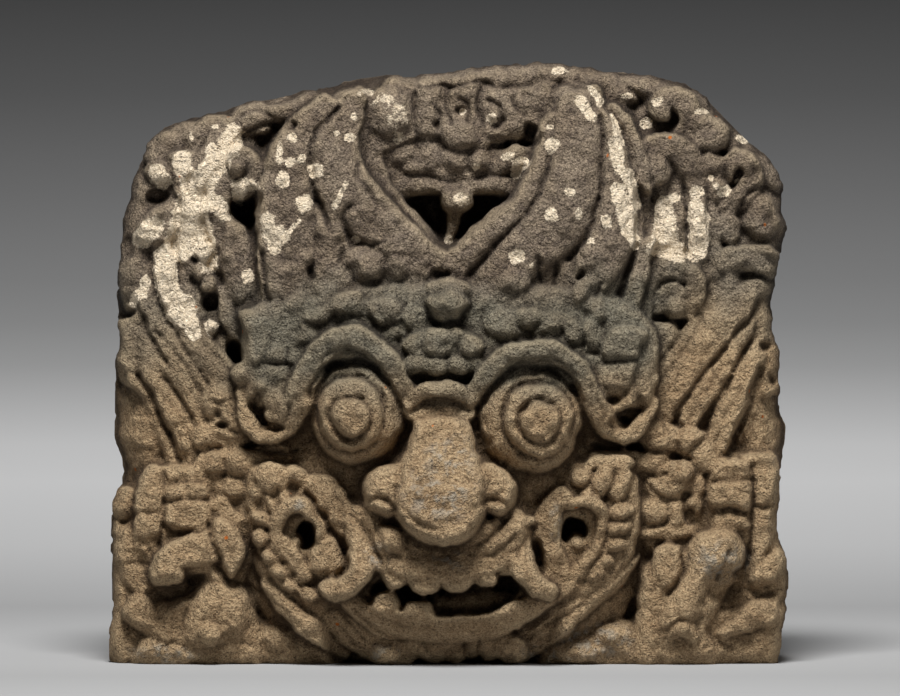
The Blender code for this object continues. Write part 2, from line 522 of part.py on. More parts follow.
def wear():
    """Weather takes the sharpness off, and the front edge of the bed is rubbed round."""
    on_stone = H > OPEN_GROUND / 2
    t = np.clip((V - BED_LINE + BED_ROUND) / BED_ROUND, 0, 1)
    H[:] = np.where(on_stone, H - BED_ROUND * (1 - np.sqrt(1 - 0.98 * t * t)), H)
    softer = blur(np.where(on_stone, H, 0.0), WEAR) / np.maximum(blur(on_stone * 1.0, WEAR), 1e-6)
    H[:] = np.where(on_stone, softer, H)


def in_metres(u, v, h):
    """Where a point of the drawing lies on the stone. What lies further back is larger than it looks."""
    nearer = 1 + (CHIN_RELIEF - np.maximum(h, 0.0)) / VIEW_DISTANCE
    x = (u - MIDDLE_LINE) * nearer * STONE_WIDTH / DRAWN_WIDTH
    z = (VIEW_HEIGHT + (BED_LINE - v - VIEW_HEIGHT) * nearer) * STONE_HEIGHT / DRAWN_HEIGHT
    y = -np.maximum(h, 0.0) * RELIEF_DEPTH - np.minimum(h, 0.0) * BLOCK_DEPTH
    return np.stack([x, y / DRAWN_RELIEF, z], -1)


def new_object(name, mesh):
    obj = bpy.data.objects.new(name, mesh)
    bpy.context.scene.collection.objects.link(obj)
    return obj


def carved_front():
    """The grid of heights as a closed shape that runs back past the wall side."""
    columns, rows = U.shape
    mesh = bpy.data.meshes.new("carved_front")
    first = np.arange(columns * rows).reshape(columns, rows)
    corners = np.stack([first[:-1, :-1], first[:-1, 1:], first[1:, 1:], first[1:, :-1]], -1)
    mesh.from_pydata(in_metres(U, V, H).reshape(-1, 3), [], corners.reshape(-1, 4))
    bm = bmesh.new()
    bm.from_mesh(mesh)
    made = bmesh.ops.extrude_face_region(bm, geom=bm.faces[:])["geom"]
    for vert in (v for v in made if isinstance(v, bmesh.types.BMVert)):
        vert.co.y = BLOCK_DEPTH * 2.5
    bmesh.ops.recalc_face_normals(bm, faces=bm.faces)
    bm.to_mesh(mesh)
    bm.free()
    return new_object("kirtimukha_block", mesh)


def dressed_block():
    """The rough block: the front's outline, drawn in by steps towards the wall side, on a flat bed."""
    rim = [in_metres(u, v, GROUND)[[0, 2]] for u, v in smooth(OUTLINE, gap=RIM_STEP)]
    rim = [(x, z) for x, z in rim if z > BED_CLEAR]
    rim = [(rim[0][0], 0.0)] + rim + [(rim[-1][0], 0.0)]
    bm = bmesh.new()
    rings = []
    for height, share in DRESSING:
        y = in_metres(0.0, 0.0, height)[1]
        rings.append([bm.verts.new((x * share, y, z * share)) for x, z in rim])
    for front, back in zip(rings, rings[1:]):
        for i in range(len(rim)):
            j = (i + 1) % len(rim)
            bm.faces.new((front[i], front[j], back[j], back[i]))
    bm.faces.new(rings[0])
    bm.faces.new(rings[-1])
    bmesh.ops.recalc_face_normals(bm, faces=bm.faces)
    mesh = bpy.data.meshes.new("dressed_block")
    bm.to_mesh(mesh)
    bm.free()
    block = new_object("dressed_block", mesh)
    block.hide_render = True
    block.display_type = "WIRE"
    return block


def stone_material():
    material = bpy.data.materials.new("volcanic_stone")
    material.use_nodes = True
    shader = material.node_tree.nodes["Principled BSDF"]
    shader.inputs["Base Color"].default_value = (0.23, 0.18, 0.135, 1.0)
    shader.inputs["Roughness"].default_value = 0.95
    shader.inputs["Metallic"].default_value = 0.0
    return material


def centre(stone):
    """Keeps the stone's finished mesh alone, with the middle of its underside at the origin."""
    bpy.context.view_layer.update()
    graph = bpy.context.evaluated_depsgraph_get()
    mesh = bpy.data.meshes.new_from_object(stone.evaluated_get(graph))
    corners = np.array([vert.co for vert in mesh.vertices])
    middle = (corners.min(0) + corners.max(0)) / 2
    for vert in mesh.vertices:
        vert.co.x -= middle[0]
        vert.co.y -= middle[1]
    stone.modifiers.clear()
    stone.data = mesh


def main():
    for old in list(bpy.data.objects):
        bpy.data.objects.remove(old)
    masses()
    block()
    for carve in (horns, gap, crown, left_side, right_side, forehead, cheeks, mouth, tusks, nose, eyes, brows, left_hand,
                  right_hand):
        carve()
    wear()
    stone = carved_front()
    stone.data.materials.append(stone_material())
    fuse = stone.modifiers.new("fuse", "REMESH")
    fuse.mode = "VOXEL"
    fuse.voxel_size = FUSE_STEP
    facet = stone.modifiers.new("facet", "DECIMATE")
    facet.ratio = FACET_SHARE
    dress = stone.modifiers.new("dress", "BOOLEAN")
    dress.operation = "INTERSECT"
    dress.object = dressed_block()
    centre(stone)


main()
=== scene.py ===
# %% [markdown]
# # A kirtimukha head block
# The object is one block of porous volcanic stone, carved on its front with a guardian face: ringed eyes, a
# broad nose, a toothed mouth, raised hands, and a crown of curls round two flame horns. It is one piece, so
# it is one mesh here. The plain solid that is loaded first gives its size and its place. The carving is
# drawn again at a finer step, the way a carver works: the outline first, then the large masses, then each
# form.

import itertools
import math

import bpy
import numpy as np
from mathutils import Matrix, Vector


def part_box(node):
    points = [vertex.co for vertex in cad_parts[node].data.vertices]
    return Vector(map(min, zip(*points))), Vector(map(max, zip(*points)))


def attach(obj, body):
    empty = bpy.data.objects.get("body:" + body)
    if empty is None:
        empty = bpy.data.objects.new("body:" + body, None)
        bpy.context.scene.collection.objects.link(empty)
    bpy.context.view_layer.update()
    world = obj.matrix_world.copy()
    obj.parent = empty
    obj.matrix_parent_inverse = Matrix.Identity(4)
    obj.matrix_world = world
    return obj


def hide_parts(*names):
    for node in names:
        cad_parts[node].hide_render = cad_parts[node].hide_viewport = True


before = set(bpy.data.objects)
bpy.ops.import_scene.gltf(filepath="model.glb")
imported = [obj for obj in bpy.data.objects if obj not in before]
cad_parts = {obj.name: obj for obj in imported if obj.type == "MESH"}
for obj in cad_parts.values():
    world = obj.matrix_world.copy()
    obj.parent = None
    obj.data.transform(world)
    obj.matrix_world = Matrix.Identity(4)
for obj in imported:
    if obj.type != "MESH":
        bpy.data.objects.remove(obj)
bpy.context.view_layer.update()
low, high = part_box("kirtimukha_block")
bpy.ops.object.select_all(action="DESELECT")
print("solid's box in metres:", [round(v, 4) for v in (*low, *high)])

# %% [markdown]
# ## The camera
# A studio photographs a carved block from straight ahead with a long lens, because a long lens keeps the
# ears as large as the nose. The lens and the distance are chosen so that one pixel of the picture is one
# millimetre of stone at the depth of the chin. That makes it easy to compare any form with the picture.

# %% Place the camera
VIEW_DISTANCE = 6.0
VIEW_HEIGHT = 0.32
CHIN_BEHIND_NOSE = 0.055
MIDDLE_SHIFT = 0.0012

camera = bpy.data.objects.new("camera", bpy.data.cameras.new("camera"))
bpy.context.scene.collection.objects.link(camera)
camera.data.sensor_width = 36
camera.data.lens = 240
camera.location = (MIDDLE_SHIFT, low.y + CHIN_BEHIND_NOSE - VIEW_DISTANCE, VIEW_HEIGHT)
camera.rotation_euler = (math.radians(90), 0, 0)
bpy.context.scene.camera = camera
print("camera at", [round(v, 3) for v in camera.location])

# %% [markdown]
# ## Small helpers
# A colour is written as the hex value that a picture editor shows. Blender's shaders want linear light, so
# one function turns it. Random values come from a seeded generator, so every run gives the same stone.

# %% Colour and noise helpers
def linear(hex_colour):
    """An sRGB hex colour as linear red, green, blue and alpha."""
    parts = [int(hex_colour[i:i + 2], 16) / 255 for i in (1, 3, 5)]
    return [p / 12.92 if p <= 0.04045 else ((p + 0.055) / 1.055) ** 2.4 for p in parts] + [1.0]


def clouds(points, size, seed):
    """Smooth random values from -1 to 1 at each point, with a hump about every size."""
    table = np.random.default_rng(seed).uniform(-1, 1, (61,) * points.shape[-1])
    place = points / size + 500
    cell = np.floor(place).astype(int)
    t = place - cell
    t = t * t * (3 - 2 * t)
    total = 0.0
    for corner in itertools.product((0, 1), repeat=points.shape[-1]):
        share = np.prod(np.where(corner, t, 1 - t), axis=-1)
        total = total + share * table[tuple(np.moveaxis((cell + corner) % 61, -1, 0))]
    return total

# %% [markdown]
# ## Floor, backdrop and light
# The stage is a pale sheet of studio paper that runs from the floor up the wall in one sweep, so no line
# shows where they meet. It is made as a plane whose back edge is spun up through a quarter turn and then
# extruded. One large soft light hangs high in front and gives the shadows under the brow. A weak one on the
# right keeps the far side from going black.

# %% Build the sweep of paper
SWEEP_SIZE = 14.0
FLOOR_BACK = 1.3
FLAT_STRIP = 0.1
SWEEP_RADIUS = 1.2
WALL_HEIGHT = 4.0
LINE_SLACK = 1e-4


def select_edges(mesh, test):
    """Selects the edges whose two ends pass the test, and nothing else."""
    for group in (mesh.vertices, mesh.edges, mesh.polygons):
        group.foreach_set("select", [False] * len(group))
    for edge in mesh.edges:
        if all(test(mesh.vertices[i].co) for i in edge.vertices):
            edge.select = True
            for i in edge.vertices:
                mesh.vertices[i].select = True


bpy.ops.mesh.primitive_plane_add(size=SWEEP_SIZE, location=(0, FLOOR_BACK - FLAT_STRIP - SWEEP_SIZE / 2, 0))
paper = bpy.context.object
paper.name = "paper_sweep"
bpy.ops.object.transform_apply(location=True)
select_edges(paper.data, lambda co: co.y > FLOOR_BACK - FLAT_STRIP - LINE_SLACK)
bpy.ops.object.mode_set(mode="EDIT")
bpy.ops.mesh.extrude_region_move(TRANSFORM_OT_translate={"value": (0, FLAT_STRIP, 0)})
bpy.ops.mesh.spin(steps=48, angle=math.radians(-90), center=(0, FLOOR_BACK, SWEEP_RADIUS), axis=(1, 0, 0))
bpy.ops.mesh.extrude_region_move(TRANSFORM_OT_translate={"value": (0, 0, WALL_HEIGHT)})
bpy.ops.mesh.select_all(action="SELECT")
bpy.ops.mesh.normals_make_consistent(inside=False)
bpy.ops.object.mode_set(mode="OBJECT")
floor_face = max(paper.data.polygons, key=lambda face: face.area)
if floor_face.normal.z < 0:
    bpy.ops.object.mode_set(mode="EDIT")
    bpy.ops.mesh.flip_normals()
    bpy.ops.object.mode_set(mode="OBJECT")
bpy.ops.object.shade_smooth()
corners = np.array([v.co for v in paper.data.vertices])
print("paper sweep spans", corners.min(0).round(2), "to", corners.max(0).round(2))

# %% Paint the paper
# The paper's grey is painted to change along the sweep: painted light low on the sweep and painted shade up
# the wall, as a studio's light falls when it is kept off the backdrop. Each entry says how far along the
# sweep, and the painted grey there.
PAPER_PAINTED_LIGHT_AND_SHADE = ((0.01, "#9C9C9C"), (0.095, "#B8B8B8"), (0.27, "#CBCBCB"), (0.33, "#D8D8D8"),
    (0.41, "#DFDFDF"), (0.456, "#D7D7D7"), (0.50, "#C3C3C3"), (0.55, "#A8A8A8"), (0.60, "#959595"),
    (0.65, "#898989"), (0.75, "#767676"), (0.86, "#5E5E5E"), (0.97, "#4A4A4A"), )
ALONG_BACK = 0.14
ALONG_UP = 0.7
ALONG_START = 0.05


def add(tree, kind, links=None, values=None, **settings):
    """Adds a node, sets it and its sockets, and links what feeds it."""
    node = tree.nodes.new(kind)
    for key, value in settings.items():
        setattr(node, key, value)
    for key, value in (values or {}).items():
        node.inputs[key].default_value = value
    for key, source in (links or {}).items():
        tree.links.new(source, node.inputs[key])
    return node


paper_finish = bpy.data.materials.new("matt_paper")
paper_finish.use_nodes = True
tree = paper_finish.node_tree
shader = tree.nodes["Principled BSDF"]
shader.inputs["Roughness"].default_value = 1.0
shader.inputs["Specular IOR Level"].default_value = 0.0
place = add(tree, "ShaderNodeTexCoord")
along = add(tree, "ShaderNodeVectorMath", {0: place.outputs["Object"]}, {1: (0, ALONG_BACK, ALONG_UP)},
    operation="DOT_PRODUCT")
along = add(tree, "ShaderNodeMath", {0: along.outputs["Value"]}, {1: ALONG_START}, operation="ADD")
# Painted light and shade: the ramp sets the paper's grey by how far along the sweep each point lies.
ramp = add(tree, "ShaderNodeValToRGB", {"Fac": along.outputs["Value"]})
stops = ramp.color_ramp.elements
stops[0].position, stops[1].position = PAPER_PAINTED_LIGHT_AND_SHADE[0][0], PAPER_PAINTED_LIGHT_AND_SHADE[-1][0]
stops[0].color, stops[1].color = linear(PAPER_PAINTED_LIGHT_AND_SHADE[0][1]), linear(PAPER_PAINTED_LIGHT_AND_SHADE[-1][1])
for where, tone in PAPER_PAINTED_LIGHT_AND_SHADE[1:-1]:
    stops.new(where).color = linear(tone)
tree.links.new(ramp.outputs["Color"], shader.inputs["Base Color"])
# Paper seen from its back lets the view through, so the stone can also be looked at from behind.
side = add(tree, "ShaderNodeNewGeometry")
clear = add(tree, "ShaderNodeBsdfTransparent")
sheet_of_paper = add(tree, "ShaderNodeMixShader", {0: side.outputs["Backfacing"], 1: shader.outputs["BSDF"],
    2: clear.outputs["BSDF"]})
tree.links.new(sheet_of_paper.outputs["Shader"], tree.nodes["Material Output"].inputs["Surface"])
paper.data.materials.append(paper_finish)

# %% Hang the lights
LIGHTS = (
    # name, place, size, watts
    ("key_softbox", (-0.12, -1.75, 2.75), 1.25, 152),
    ("side_fill", (2.6, -2.4, 1.1), 2.0, 14),
)
LIT_POINT = Vector((0, -0.05, 0.34))
ROOM_LIGHT = 0.075

for name, spot, size, watts in LIGHTS:
    lamp = bpy.data.lights.new(name, "AREA")
    lamp.shape = "DISK"
    lamp.size = size
    lamp.energy = watts
    holder = bpy.data.objects.new(name, lamp)
    holder.location = spot
    holder.rotation_euler = (LIT_POINT - Vector(spot)).to_track_quat("-Z", "Y").to_euler()
    bpy.context.scene.collection.objects.link(holder)
room = bpy.data.worlds.new("studio")
room.use_nodes = True
room.node_tree.nodes["Background"].inputs["Color"].default_value = linear("#BCC0C4")
room.node_tree.nodes["Background"].inputs["Strength"].default_value = ROOM_LIGHT
bpy.context.scene.world = room
bpy.context.scene.view_settings.view_transform = "Standard"

# %% [markdown]
# ## The sheet of clay
# A sculptor would take the squared face of the block and push it about with brushes. Here a fine grid
# primitive is that face. Its points are sorted into rows and columns, so a brush can find the ones it
# reaches, and each point gets a height over the face's ground. The drawing is in millimetres, across and
# down from the sheet's top left corner, as the eye sees it from the camera. The columns and rows are bent a
# little by smooth noise first, so that no form comes out as straight or as round as a machine would make
# it.

# %% Add the grid and read its rows
STEP = 1.7
LEFT, RIGHT, HIGH, LOW = 80.0, 820.0, 30.0, 700.0
OPEN_GROUND = -400.0
GROUND = 30.0
EDGE_ROUND = 36.0
EDGE_DROP = 42.0
HAND_WOBBLE = ((34.0, 1.8, 3), (15.0, 1.6, 4), (7.0, 1.0, 5))
WOBBLE_REACH = 5.0
SETTLE_REACH = 6.0
SETTLE_FREE = 5.0
SETTLE_SHARE = 0.65
RIM_ROUND = 13.0
RIM_DROP = 22.0
RIM_SLACK = 1.5

columns = round((RIGHT - LEFT) / STEP) + 1
rows = round((LOW - HIGH) / STEP) + 1
bpy.ops.mesh.primitive_grid_add(x_subdivisions=columns - 1, y_subdivisions=rows - 1, size=1)
stone = bpy.context.object
stone.name = "kirtimukha_stone"
flat = np.array([v.co for v in stone.data.vertices])
order = np.lexsort((-flat[:, 1].round(6), flat[:, 0].round(6)))
U0 = ((flat[order, 0] + 0.5) * (RIGHT - LEFT) + LEFT).reshape(columns, rows)
V0 = ((0.5 - flat[order, 1]) * (LOW - HIGH) + HIGH).reshape(columns, rows)
spots = np.stack([U0, V0], -1)
U = U0 + sum(reach * clouds(spots, size, seed) for size, reach, seed in HAND_WOBBLE)
V = V0 + sum(reach * clouds(spots, size, seed + 10) for size, reach, seed in HAND_WOBBLE)
H = np.full(U.shape, OPEN_GROUND)
KEPT = np.zeros(U.shape)
print("grid of", columns, "by", rows, "points,", round(STEP, 2), "mm apart")

# %% [markdown]
# ## Brushes
# Each brush changes the heights near it and leaves the rest. Lump, ridge and slab raise the stone to a
# height and never lower it, so forms pile up as on the real face. Pit, sink, groove and strand work on what
# is there. A line is drawn through a few points and smoothed, because a hand-cut line has no corners.

# %% Brushes
def window(u0, u1, v0, v1):
    """The part of the grid that a brush reaches."""
    ends = [(u0 - WOBBLE_REACH - LEFT, u1 + WOBBLE_REACH - LEFT),
        (v0 - WOBBLE_REACH - HIGH, v1 + WOBBLE_REACH - HIGH)]
    (i0, i1), (j0, j1) = [[int(np.clip(end / STEP + e, 0, n)) for end, e in zip(pair, (0, 2))] for pair, n
        in zip(ends, U.shape)]
    return slice(i0, i1), slice(j0, j1)


def smooth(points, gap=4.0, closed=False):
    """A smooth line through the points, whose rows are across, down and any values that go along."""
    p = np.array(points, float)
    if closed:
        p = np.vstack([p[-1], p, p[0], p[1]])
    else:
        p = np.vstack([2 * p[0] - p[1], p, 2 * p[-1] - p[-2]])
    out = []
    for a, b, c, d in zip(p, p[1:], p[2:], p[3:]):
        count = max(1, int(np.hypot(*(c - b)[:2]) / gap))
        for t in np.arange(count) / count:
            square = 2 * a - 5 * b + 4 * c - d
            cube = 3 * b - a - 3 * c + d
            out.append(0.5 * (2 * b + (c - a) * t + square * t ** 2 + cube * t ** 3))
    out.append(p[-2])
    return np.array(out)


def arc(u, v, ru, rv, start, end, width):
    """Points along an oval from one bearing to another. 0 is right, 90 is up. They thin towards both ends."""
    bearings = np.radians(np.linspace(start, end, 14))
    widths = width * (0.55 + 0.45 * np.sin(np.linspace(0, np.pi, 14)))
    return list(zip(u + ru * np.cos(bearings), v - rv * np.sin(bearings), widths))


def near(line, reach):
    """The window round a line, each point's distance from it as far as reach, and the line's values there."""
    lows = line[:, :2].min(0) - reach
    highs = line[:, :2].max(0) + reach
    at = window(lows[0], highs[0], lows[1], highs[1])
    best = np.full(U[at].shape, np.inf)
    values = np.zeros(best.shape + (line.shape[1] - 2,))
    for a, b in zip(line, line[1:]):
        low = np.minimum(a, b)[:2] - reach
        high = np.maximum(a, b)[:2] + reach
        part = window(low[0], high[0], low[1], high[1])
        here = tuple(slice(p.start - w.start, p.stop - w.start) for p, w in zip(part, at))
        du, dv = (b - a)[:2]
        u, v = U[part] - a[0], V[part] - a[1]
        t = np.clip((u * du + v * dv) / max(du * du + dv * dv, 1e-9), 0, 1)
        d = np.hypot(u - t * du, v - t * dv)
        closer = d < best[here]
        best[here] = np.where(closer, d, best[here])
        values[here] = np.where(closer[..., None], a[2:] + t[..., None] * (b - a)[2:], values[here])
    return at, best, values


def oval(u, v, ru, rv, turn=0.0, square=2.0):
    """The window round an oval, and 0 at its middle to 1 at its rim."""
    reach = max(ru, rv)
    at = window(u - reach, u + reach, v - reach, v + reach)
    c, s = np.cos(np.radians(turn)), np.sin(np.radians(turn))
    x = (U[at] - u) * c - (V[at] - v) * s
    y = (U[at] - u) * s + (V[at] - v) * c
    return at, np.abs(x / ru) ** square + np.abs(y / rv) ** square


def lump(u, v, ru, rv, top, rise=None, turn=0.0, square=2.0):
    """A rounded lump whose crest stands at top, and which is rise high. turn is anticlockwise, in degrees."""
    rise = min(ru, rv) if rise is None else rise
    at, d = oval(u, v, ru, rv, turn, square)
    s = top - rise + rise * np.clip(1 - d, 0, 1) ** 0.7
    H[at] = np.where(d < 1, np.maximum(H[at], s), H[at])


def pit(u, v, ru, rv, depth, turn=0.0, wall=3.0):
    """A sunk oval."""
    at, d = oval(u, v, ru, rv, turn)
    share = np.clip((1 - d) * wall, 0, 1)
    H[at] -= depth * share
    if depth > 0:
        KEPT[at] = np.maximum(KEPT[at], share)


def ridge(points, roundness=0.9):
    """A roll of stone through points of (across, down, crest, half width)."""
    line = smooth(points)
    at, d, values = near(line, line[:, 3].max() + 2)
    top, w = values[..., 0], values[..., 1]
    t = np.clip(d / np.maximum(w, 0.5), 0, 1)
    s = top - w * roundness * (1 - (1 - t ** 2.6) ** 0.5)
    H[at] = np.where(d < w, np.maximum(H[at], s), H[at])


def strand(points, rise):
    """A raised line laid on what is there, through points of (across, down, half width)."""
    line = smooth(points)
    at, d, values = near(line, line[:, 2].max() + 2)
    t = np.clip(d / np.maximum(values[..., 0], 0.5), 0, 1)
    H[at] += rise * np.sqrt(1 - t * t) * (values[..., 0] / line[:, 2].max())


def groove(points, depth):
    """A cut line through points of (across, down, half width)."""
    line = smooth(points)
    at, d, values = near(line, line[:, 2].max() + 2)
    t = np.clip(d / np.maximum(values[..., 0], 0.5), 0, 1)
    H[at] -= depth * (1 - t) * (0.4 + 0.6 * values[..., 0] / line[:, 2].max())
    KEPT[at] = np.maximum(KEPT[at], 0.8 * (1 - t))


def inside(outline, reach=70.0):
    """The window of a closed outline, and how far inside it each point lies."""
    line = smooth(outline, closed=True)
    at, d, _ = near(line, reach)
    u, v = U[at], V[at]
    odd = np.zeros(u.shape, bool)
    for (u0, v0), (u1, v1) in zip(line[:, :2], np.roll(line[:, :2], -1, 0)):
        if v0 != v1:
            crosses = (v0 > v) != (v1 > v)
            odd ^= crosses & (u < u0 + (v - v0) / (v1 - v0) * (u1 - u0))
    return at, np.where(odd, d, -d)


def slab(outline, top, edge, rise=None, lean=(0.0, 0.0), about=None):
    """A raised field with a rounded edge. lean is how much its top climbs per millimetre across and down."""
    rise = edge if rise is None else rise
    at, d = inside(outline)
    cu, cv = about or np.array(outline, float)[:, :2].mean(0)
    t = np.clip(1 - d / edge, 0, 1)
    s = top + lean[0] * (U[at] - cu) + lean[1] * (V[at] - cv) - rise * (1 - np.sqrt(1 - t * t))
    H[at] = np.where(d > 0, np.maximum(H[at], s), H[at])


def sink(outline, depth, edge=6.0):
    """A sunk field."""
    at, d = inside(outline)
    share = np.clip(d / edge, 0, 1)
    H[at] -= depth * share
    KEPT[at] = np.maximum(KEPT[at], share)


def turned(u, v, ru, rv, profile):
    """A turned form: profile is (share of the radius, height), from the middle out."""
    at, d = oval(u, v, ru, rv)
    share, height = np.array(profile, float).T
    s = np.interp(np.sqrt(d), share, height)
    H[at] = np.where(d < 1, s, H[at])


def blur(h, sigma):
    """The heights, worn softer."""
    sigma = sigma / STEP
    n = max(1, int(3 * sigma))
    k = np.exp(-0.5 * (np.arange(-n, n + 1) / sigma) ** 2)
    k /= k.sum()
    for _ in range(2):
        wide = np.pad(h, ((n, n), (0, 0)), mode="edge")
        h = sum(share * wide[i:i + h.shape[0]] for i, share in enumerate(k)).T
    return h

# %% [markdown]
# ## The outline
# The front's outline comes first. It is the silhouette that the eye reads from across a room: leaning
# sides, a low crown that rises to the right of the middle, and a shoulder on the right that has lost its
# corner.

# %% The outline
OUTLINE = [(134, 700), (120, 686), (111, 664), (107, 630), (107, 590), (107, 545), (111, 500), (119, 470),
    (111, 430), (110, 380), (115, 335), (114, 290), (120, 240), (123, 210), (133, 168), (147, 137),
    (172, 120), (235, 102), (300, 88), (375, 72), (465, 66), (550, 59), (630, 70), (690, 83), (718, 108),
    (742, 132), (764, 150), (782, 182), (785, 220), (777, 260), (770, 310), (778, 350), (779, 390),
    (785, 430), (779, 490), (779, 535), (786, 565), (784, 600), (779, 640), (771, 664), (762, 686),
    (750, 700), (600, 704), (300, 704), ]
print(len(OUTLINE), "points round the front")

# %% [markdown]
# ## The large masses
# A carver leaves the big volumes standing before any detail: the crown's shield, the round face that stands
# furthest out, and the four bulges where hands and shoulders will be. Wide, soft lumps do this best.

# %% Masses
def masses():
    """The large masses that the forms are cut from."""
    slab([(238, 420), (236, 330), (245, 250), (258, 170), (285, 118), (340, 90), (400, 78), (470, 70),
        (540, 66), (600, 72), (636, 110), (648, 200), (655, 300), (652, 420), (560, 460), (330, 460)], 80,
        50, 44, (0.0, 0.07), (444, 300))
    lump(442, 532, 200, 142, 113, 60, 0, 2.6)
    lump(176, 575, 70, 112, 52, 40, 0, 3)
    lump(735, 565, 60, 118, 54, 40, 0, 3)
    lump(146, 425, 36, 66, 50, 34)
    lump(757, 415, 36, 70, 50, 34)
    lump(176, 290, 70, 160, 47, 30, 0, 3)
    lump(715, 250, 66, 160, 48, 30, 0, 3)
    lump(220, 400, 34, 70, 44, 26)
    lump(672, 400, 34, 70, 46, 26)


masses()
print("masses: highest point now", round(float(H.max()), 1))

# %% [markdown]
# ## The squared front
# The masses are clipped to the outline, and the front's edge is worn round, because the corners of old
# blocks are the first thing to go.

# %% Block
def block():
    """The squared face inside its outline, with its edges worn round, under whatever stands on it."""
    at, d = inside(OUTLINE)
    t = np.clip(1 - d / EDGE_ROUND, 0, 1)
    face = np.maximum(H[at], GROUND) - EDGE_DROP * (1 - np.sqrt(1 - t * t))
    H[:] = OPEN_GROUND
    H[at] = np.where(d > 0, face, OPEN_GROUND)


block()
print("block: highest point now", round(float(H.max()), 1))

# %% [markdown]
# ## Flame horns
# Two horns of hair rise from the brow and part in the middle. Each is a raised slab with a rounded edge.
# Long cut lines follow its curve, and small curls sit at its foot.

# %% Horns
def horns():
    """Two flame-shaped horns, each of a few broad strands that run up to a tip."""
    slab([(255, 340), (252, 300), (251, 250), (256, 190), (272, 158), (292, 127), (308, 102), (334, 88),
        (358, 84), (372, 98), (370, 128), (368, 154), (379, 179), (395, 199), (418, 225), (446, 250),
        (432, 300), (380, 300), (320, 305), (285, 335)], 94, 26, 38, (0.0, 0.06), (330, 240))
    slab([(638, 335), (647, 290), (645, 225), (640, 170), (628, 130), (612, 100), (592, 82), (566, 78),
        (548, 92), (542, 128), (533, 155), (516, 194), (481, 222), (452, 248), (456, 300), (500, 300),
        (560, 300), (600, 335)], 96, 26, 38, (0.0, 0.06), (560, 240))
    for path in ([(324, 102, 88, 12), (303, 130, 97, 20), (289, 160, 102, 24), (283, 195, 106, 26),
        (283, 235, 107, 27), (282, 275, 106, 24), (286, 312, 104, 18)],
        [(351, 100, 88, 13), (336, 126, 98, 19), (333, 158, 104, 24), (346, 190, 108, 25),
        (374, 219, 109, 22), (408, 243, 107, 17), (440, 256, 103, 10)],
        [(319, 205, 98, 6), (326, 232, 106, 14), (330, 262, 108, 16), (326, 286, 106, 12)],
        [(548, 118, 86, 9), (541, 150, 96, 10), (531, 180, 103, 13), (511, 208, 107, 15),
        (485, 233, 107, 15), (456, 260, 103, 12)], [(572, 104, 90, 15), (575, 140, 100, 22),
        (569, 180, 108, 27), (552, 215, 112, 28), (526, 246, 112, 27), (497, 274, 110, 20)],
        [(604, 110, 88, 6), (612, 142, 97, 12), (616, 178, 104, 16), (613, 212, 108, 21),
        (602, 246, 110, 24), (588, 280, 108, 16)], [(614, 106, 82, 6), (633, 138, 86, 7), (640, 175, 90, 8),
        (643, 212, 94, 8), (641, 250, 97, 10), (632, 288, 98, 10), (620, 322, 98, 9)]):
        ridge([(u, v, top + 3, w * 1.12) for u, v, top, w in path], 0.42)
    for path, w, depth in (([(338, 102), (315, 130), (309, 154), (313, 190), (324, 218)], 3.2, 7),
        ([(356, 157), (358, 178), (373, 199)], 2.6, 5), ([(317, 197), (322, 212), (330, 228)], 2.6, 5),
        ([(346, 202), (339, 214), (348, 234), (366, 240), (384, 236)], 2.6, 5),
        ([(340, 245), (338, 257), (346, 278), (353, 292)], 3, 7),
        ([(308, 256), (313, 280), (318, 300)], 3, 9), ([(258, 250), (263, 290), (272, 330)], 3.5, 10),
        ([(551, 150), (541, 182), (526, 207), (497, 237), (468, 270)], 3.2, 7),
        ([(448, 252), (434, 270)], 2.5, 4), ([(598, 112), (601, 146), (599, 180), (592, 210), (581, 236),
        (566, 256)], 3.0, 7), ([(607, 104), (623, 137), (631, 172), (636, 206), (635, 242), (626, 275),
        (614, 310), (603, 338)], 3.4, 9), ([(624, 180), (627, 206), (625, 234)], 2.2, 4),
        ([(627, 264), (620, 280), (615, 300), (609, 314)], 2.5, 6),
        ([(537, 255), (540, 278), (540, 302)], 3, 8), ([(579, 268), (572, 288), (568, 308)], 3, 9),
        ([(556, 262), (552, 282), (554, 302)], 2.5, 5)):
        groove([(u, v, w * 1.2) for u, v in path], depth * 2.0)
    for u, v, ru, rv, top in ((583, 100, 11, 13, 86), (595, 97, 8, 16, 84), (362, 260, 19, 17, 119),
        (394, 262, 15, 15, 113), (416, 266, 11, 12, 110), (303, 252, 9, 9, 110), (293, 276, 6, 5, 108),
        (297, 298, 13, 17, 114), (324, 284, 12, 14, 112), (340, 282, 6, 12, 108), (588, 250, 7, 9, 113),
        (510, 279, 16, 12, 124), (596, 307, 7, 9, 116), (290, 262, 6, 7, 104)):
        lump(u, v, ru * 1.15, rv * 1.15, top, min(ru, rv))
    ridge([(597, 278, 110, 4), (583, 283, 117, 8), (576, 298, 118, 9), (584, 313, 112, 6)])
    groove([(598, 282, 2.5), (595, 291, 4), (590, 299, 3)], 18)
    pit(595, 322, 9, 6, 22)
    groove([(494, 290, 4), (505, 298, 7), (521, 299, 7), (536, 293, 4)], 24)
    pit(294, 315, 9, 5, 18)


horns()
print("horns: highest point now", round(float(H.max()), 1))

# %% [markdown]
# ## The garland between the horns
# Between the horns the stone is cut back deep, and a garland of beads and a pendant hang there. The gap is
# sunk first, and the beads are then laid on its floor.

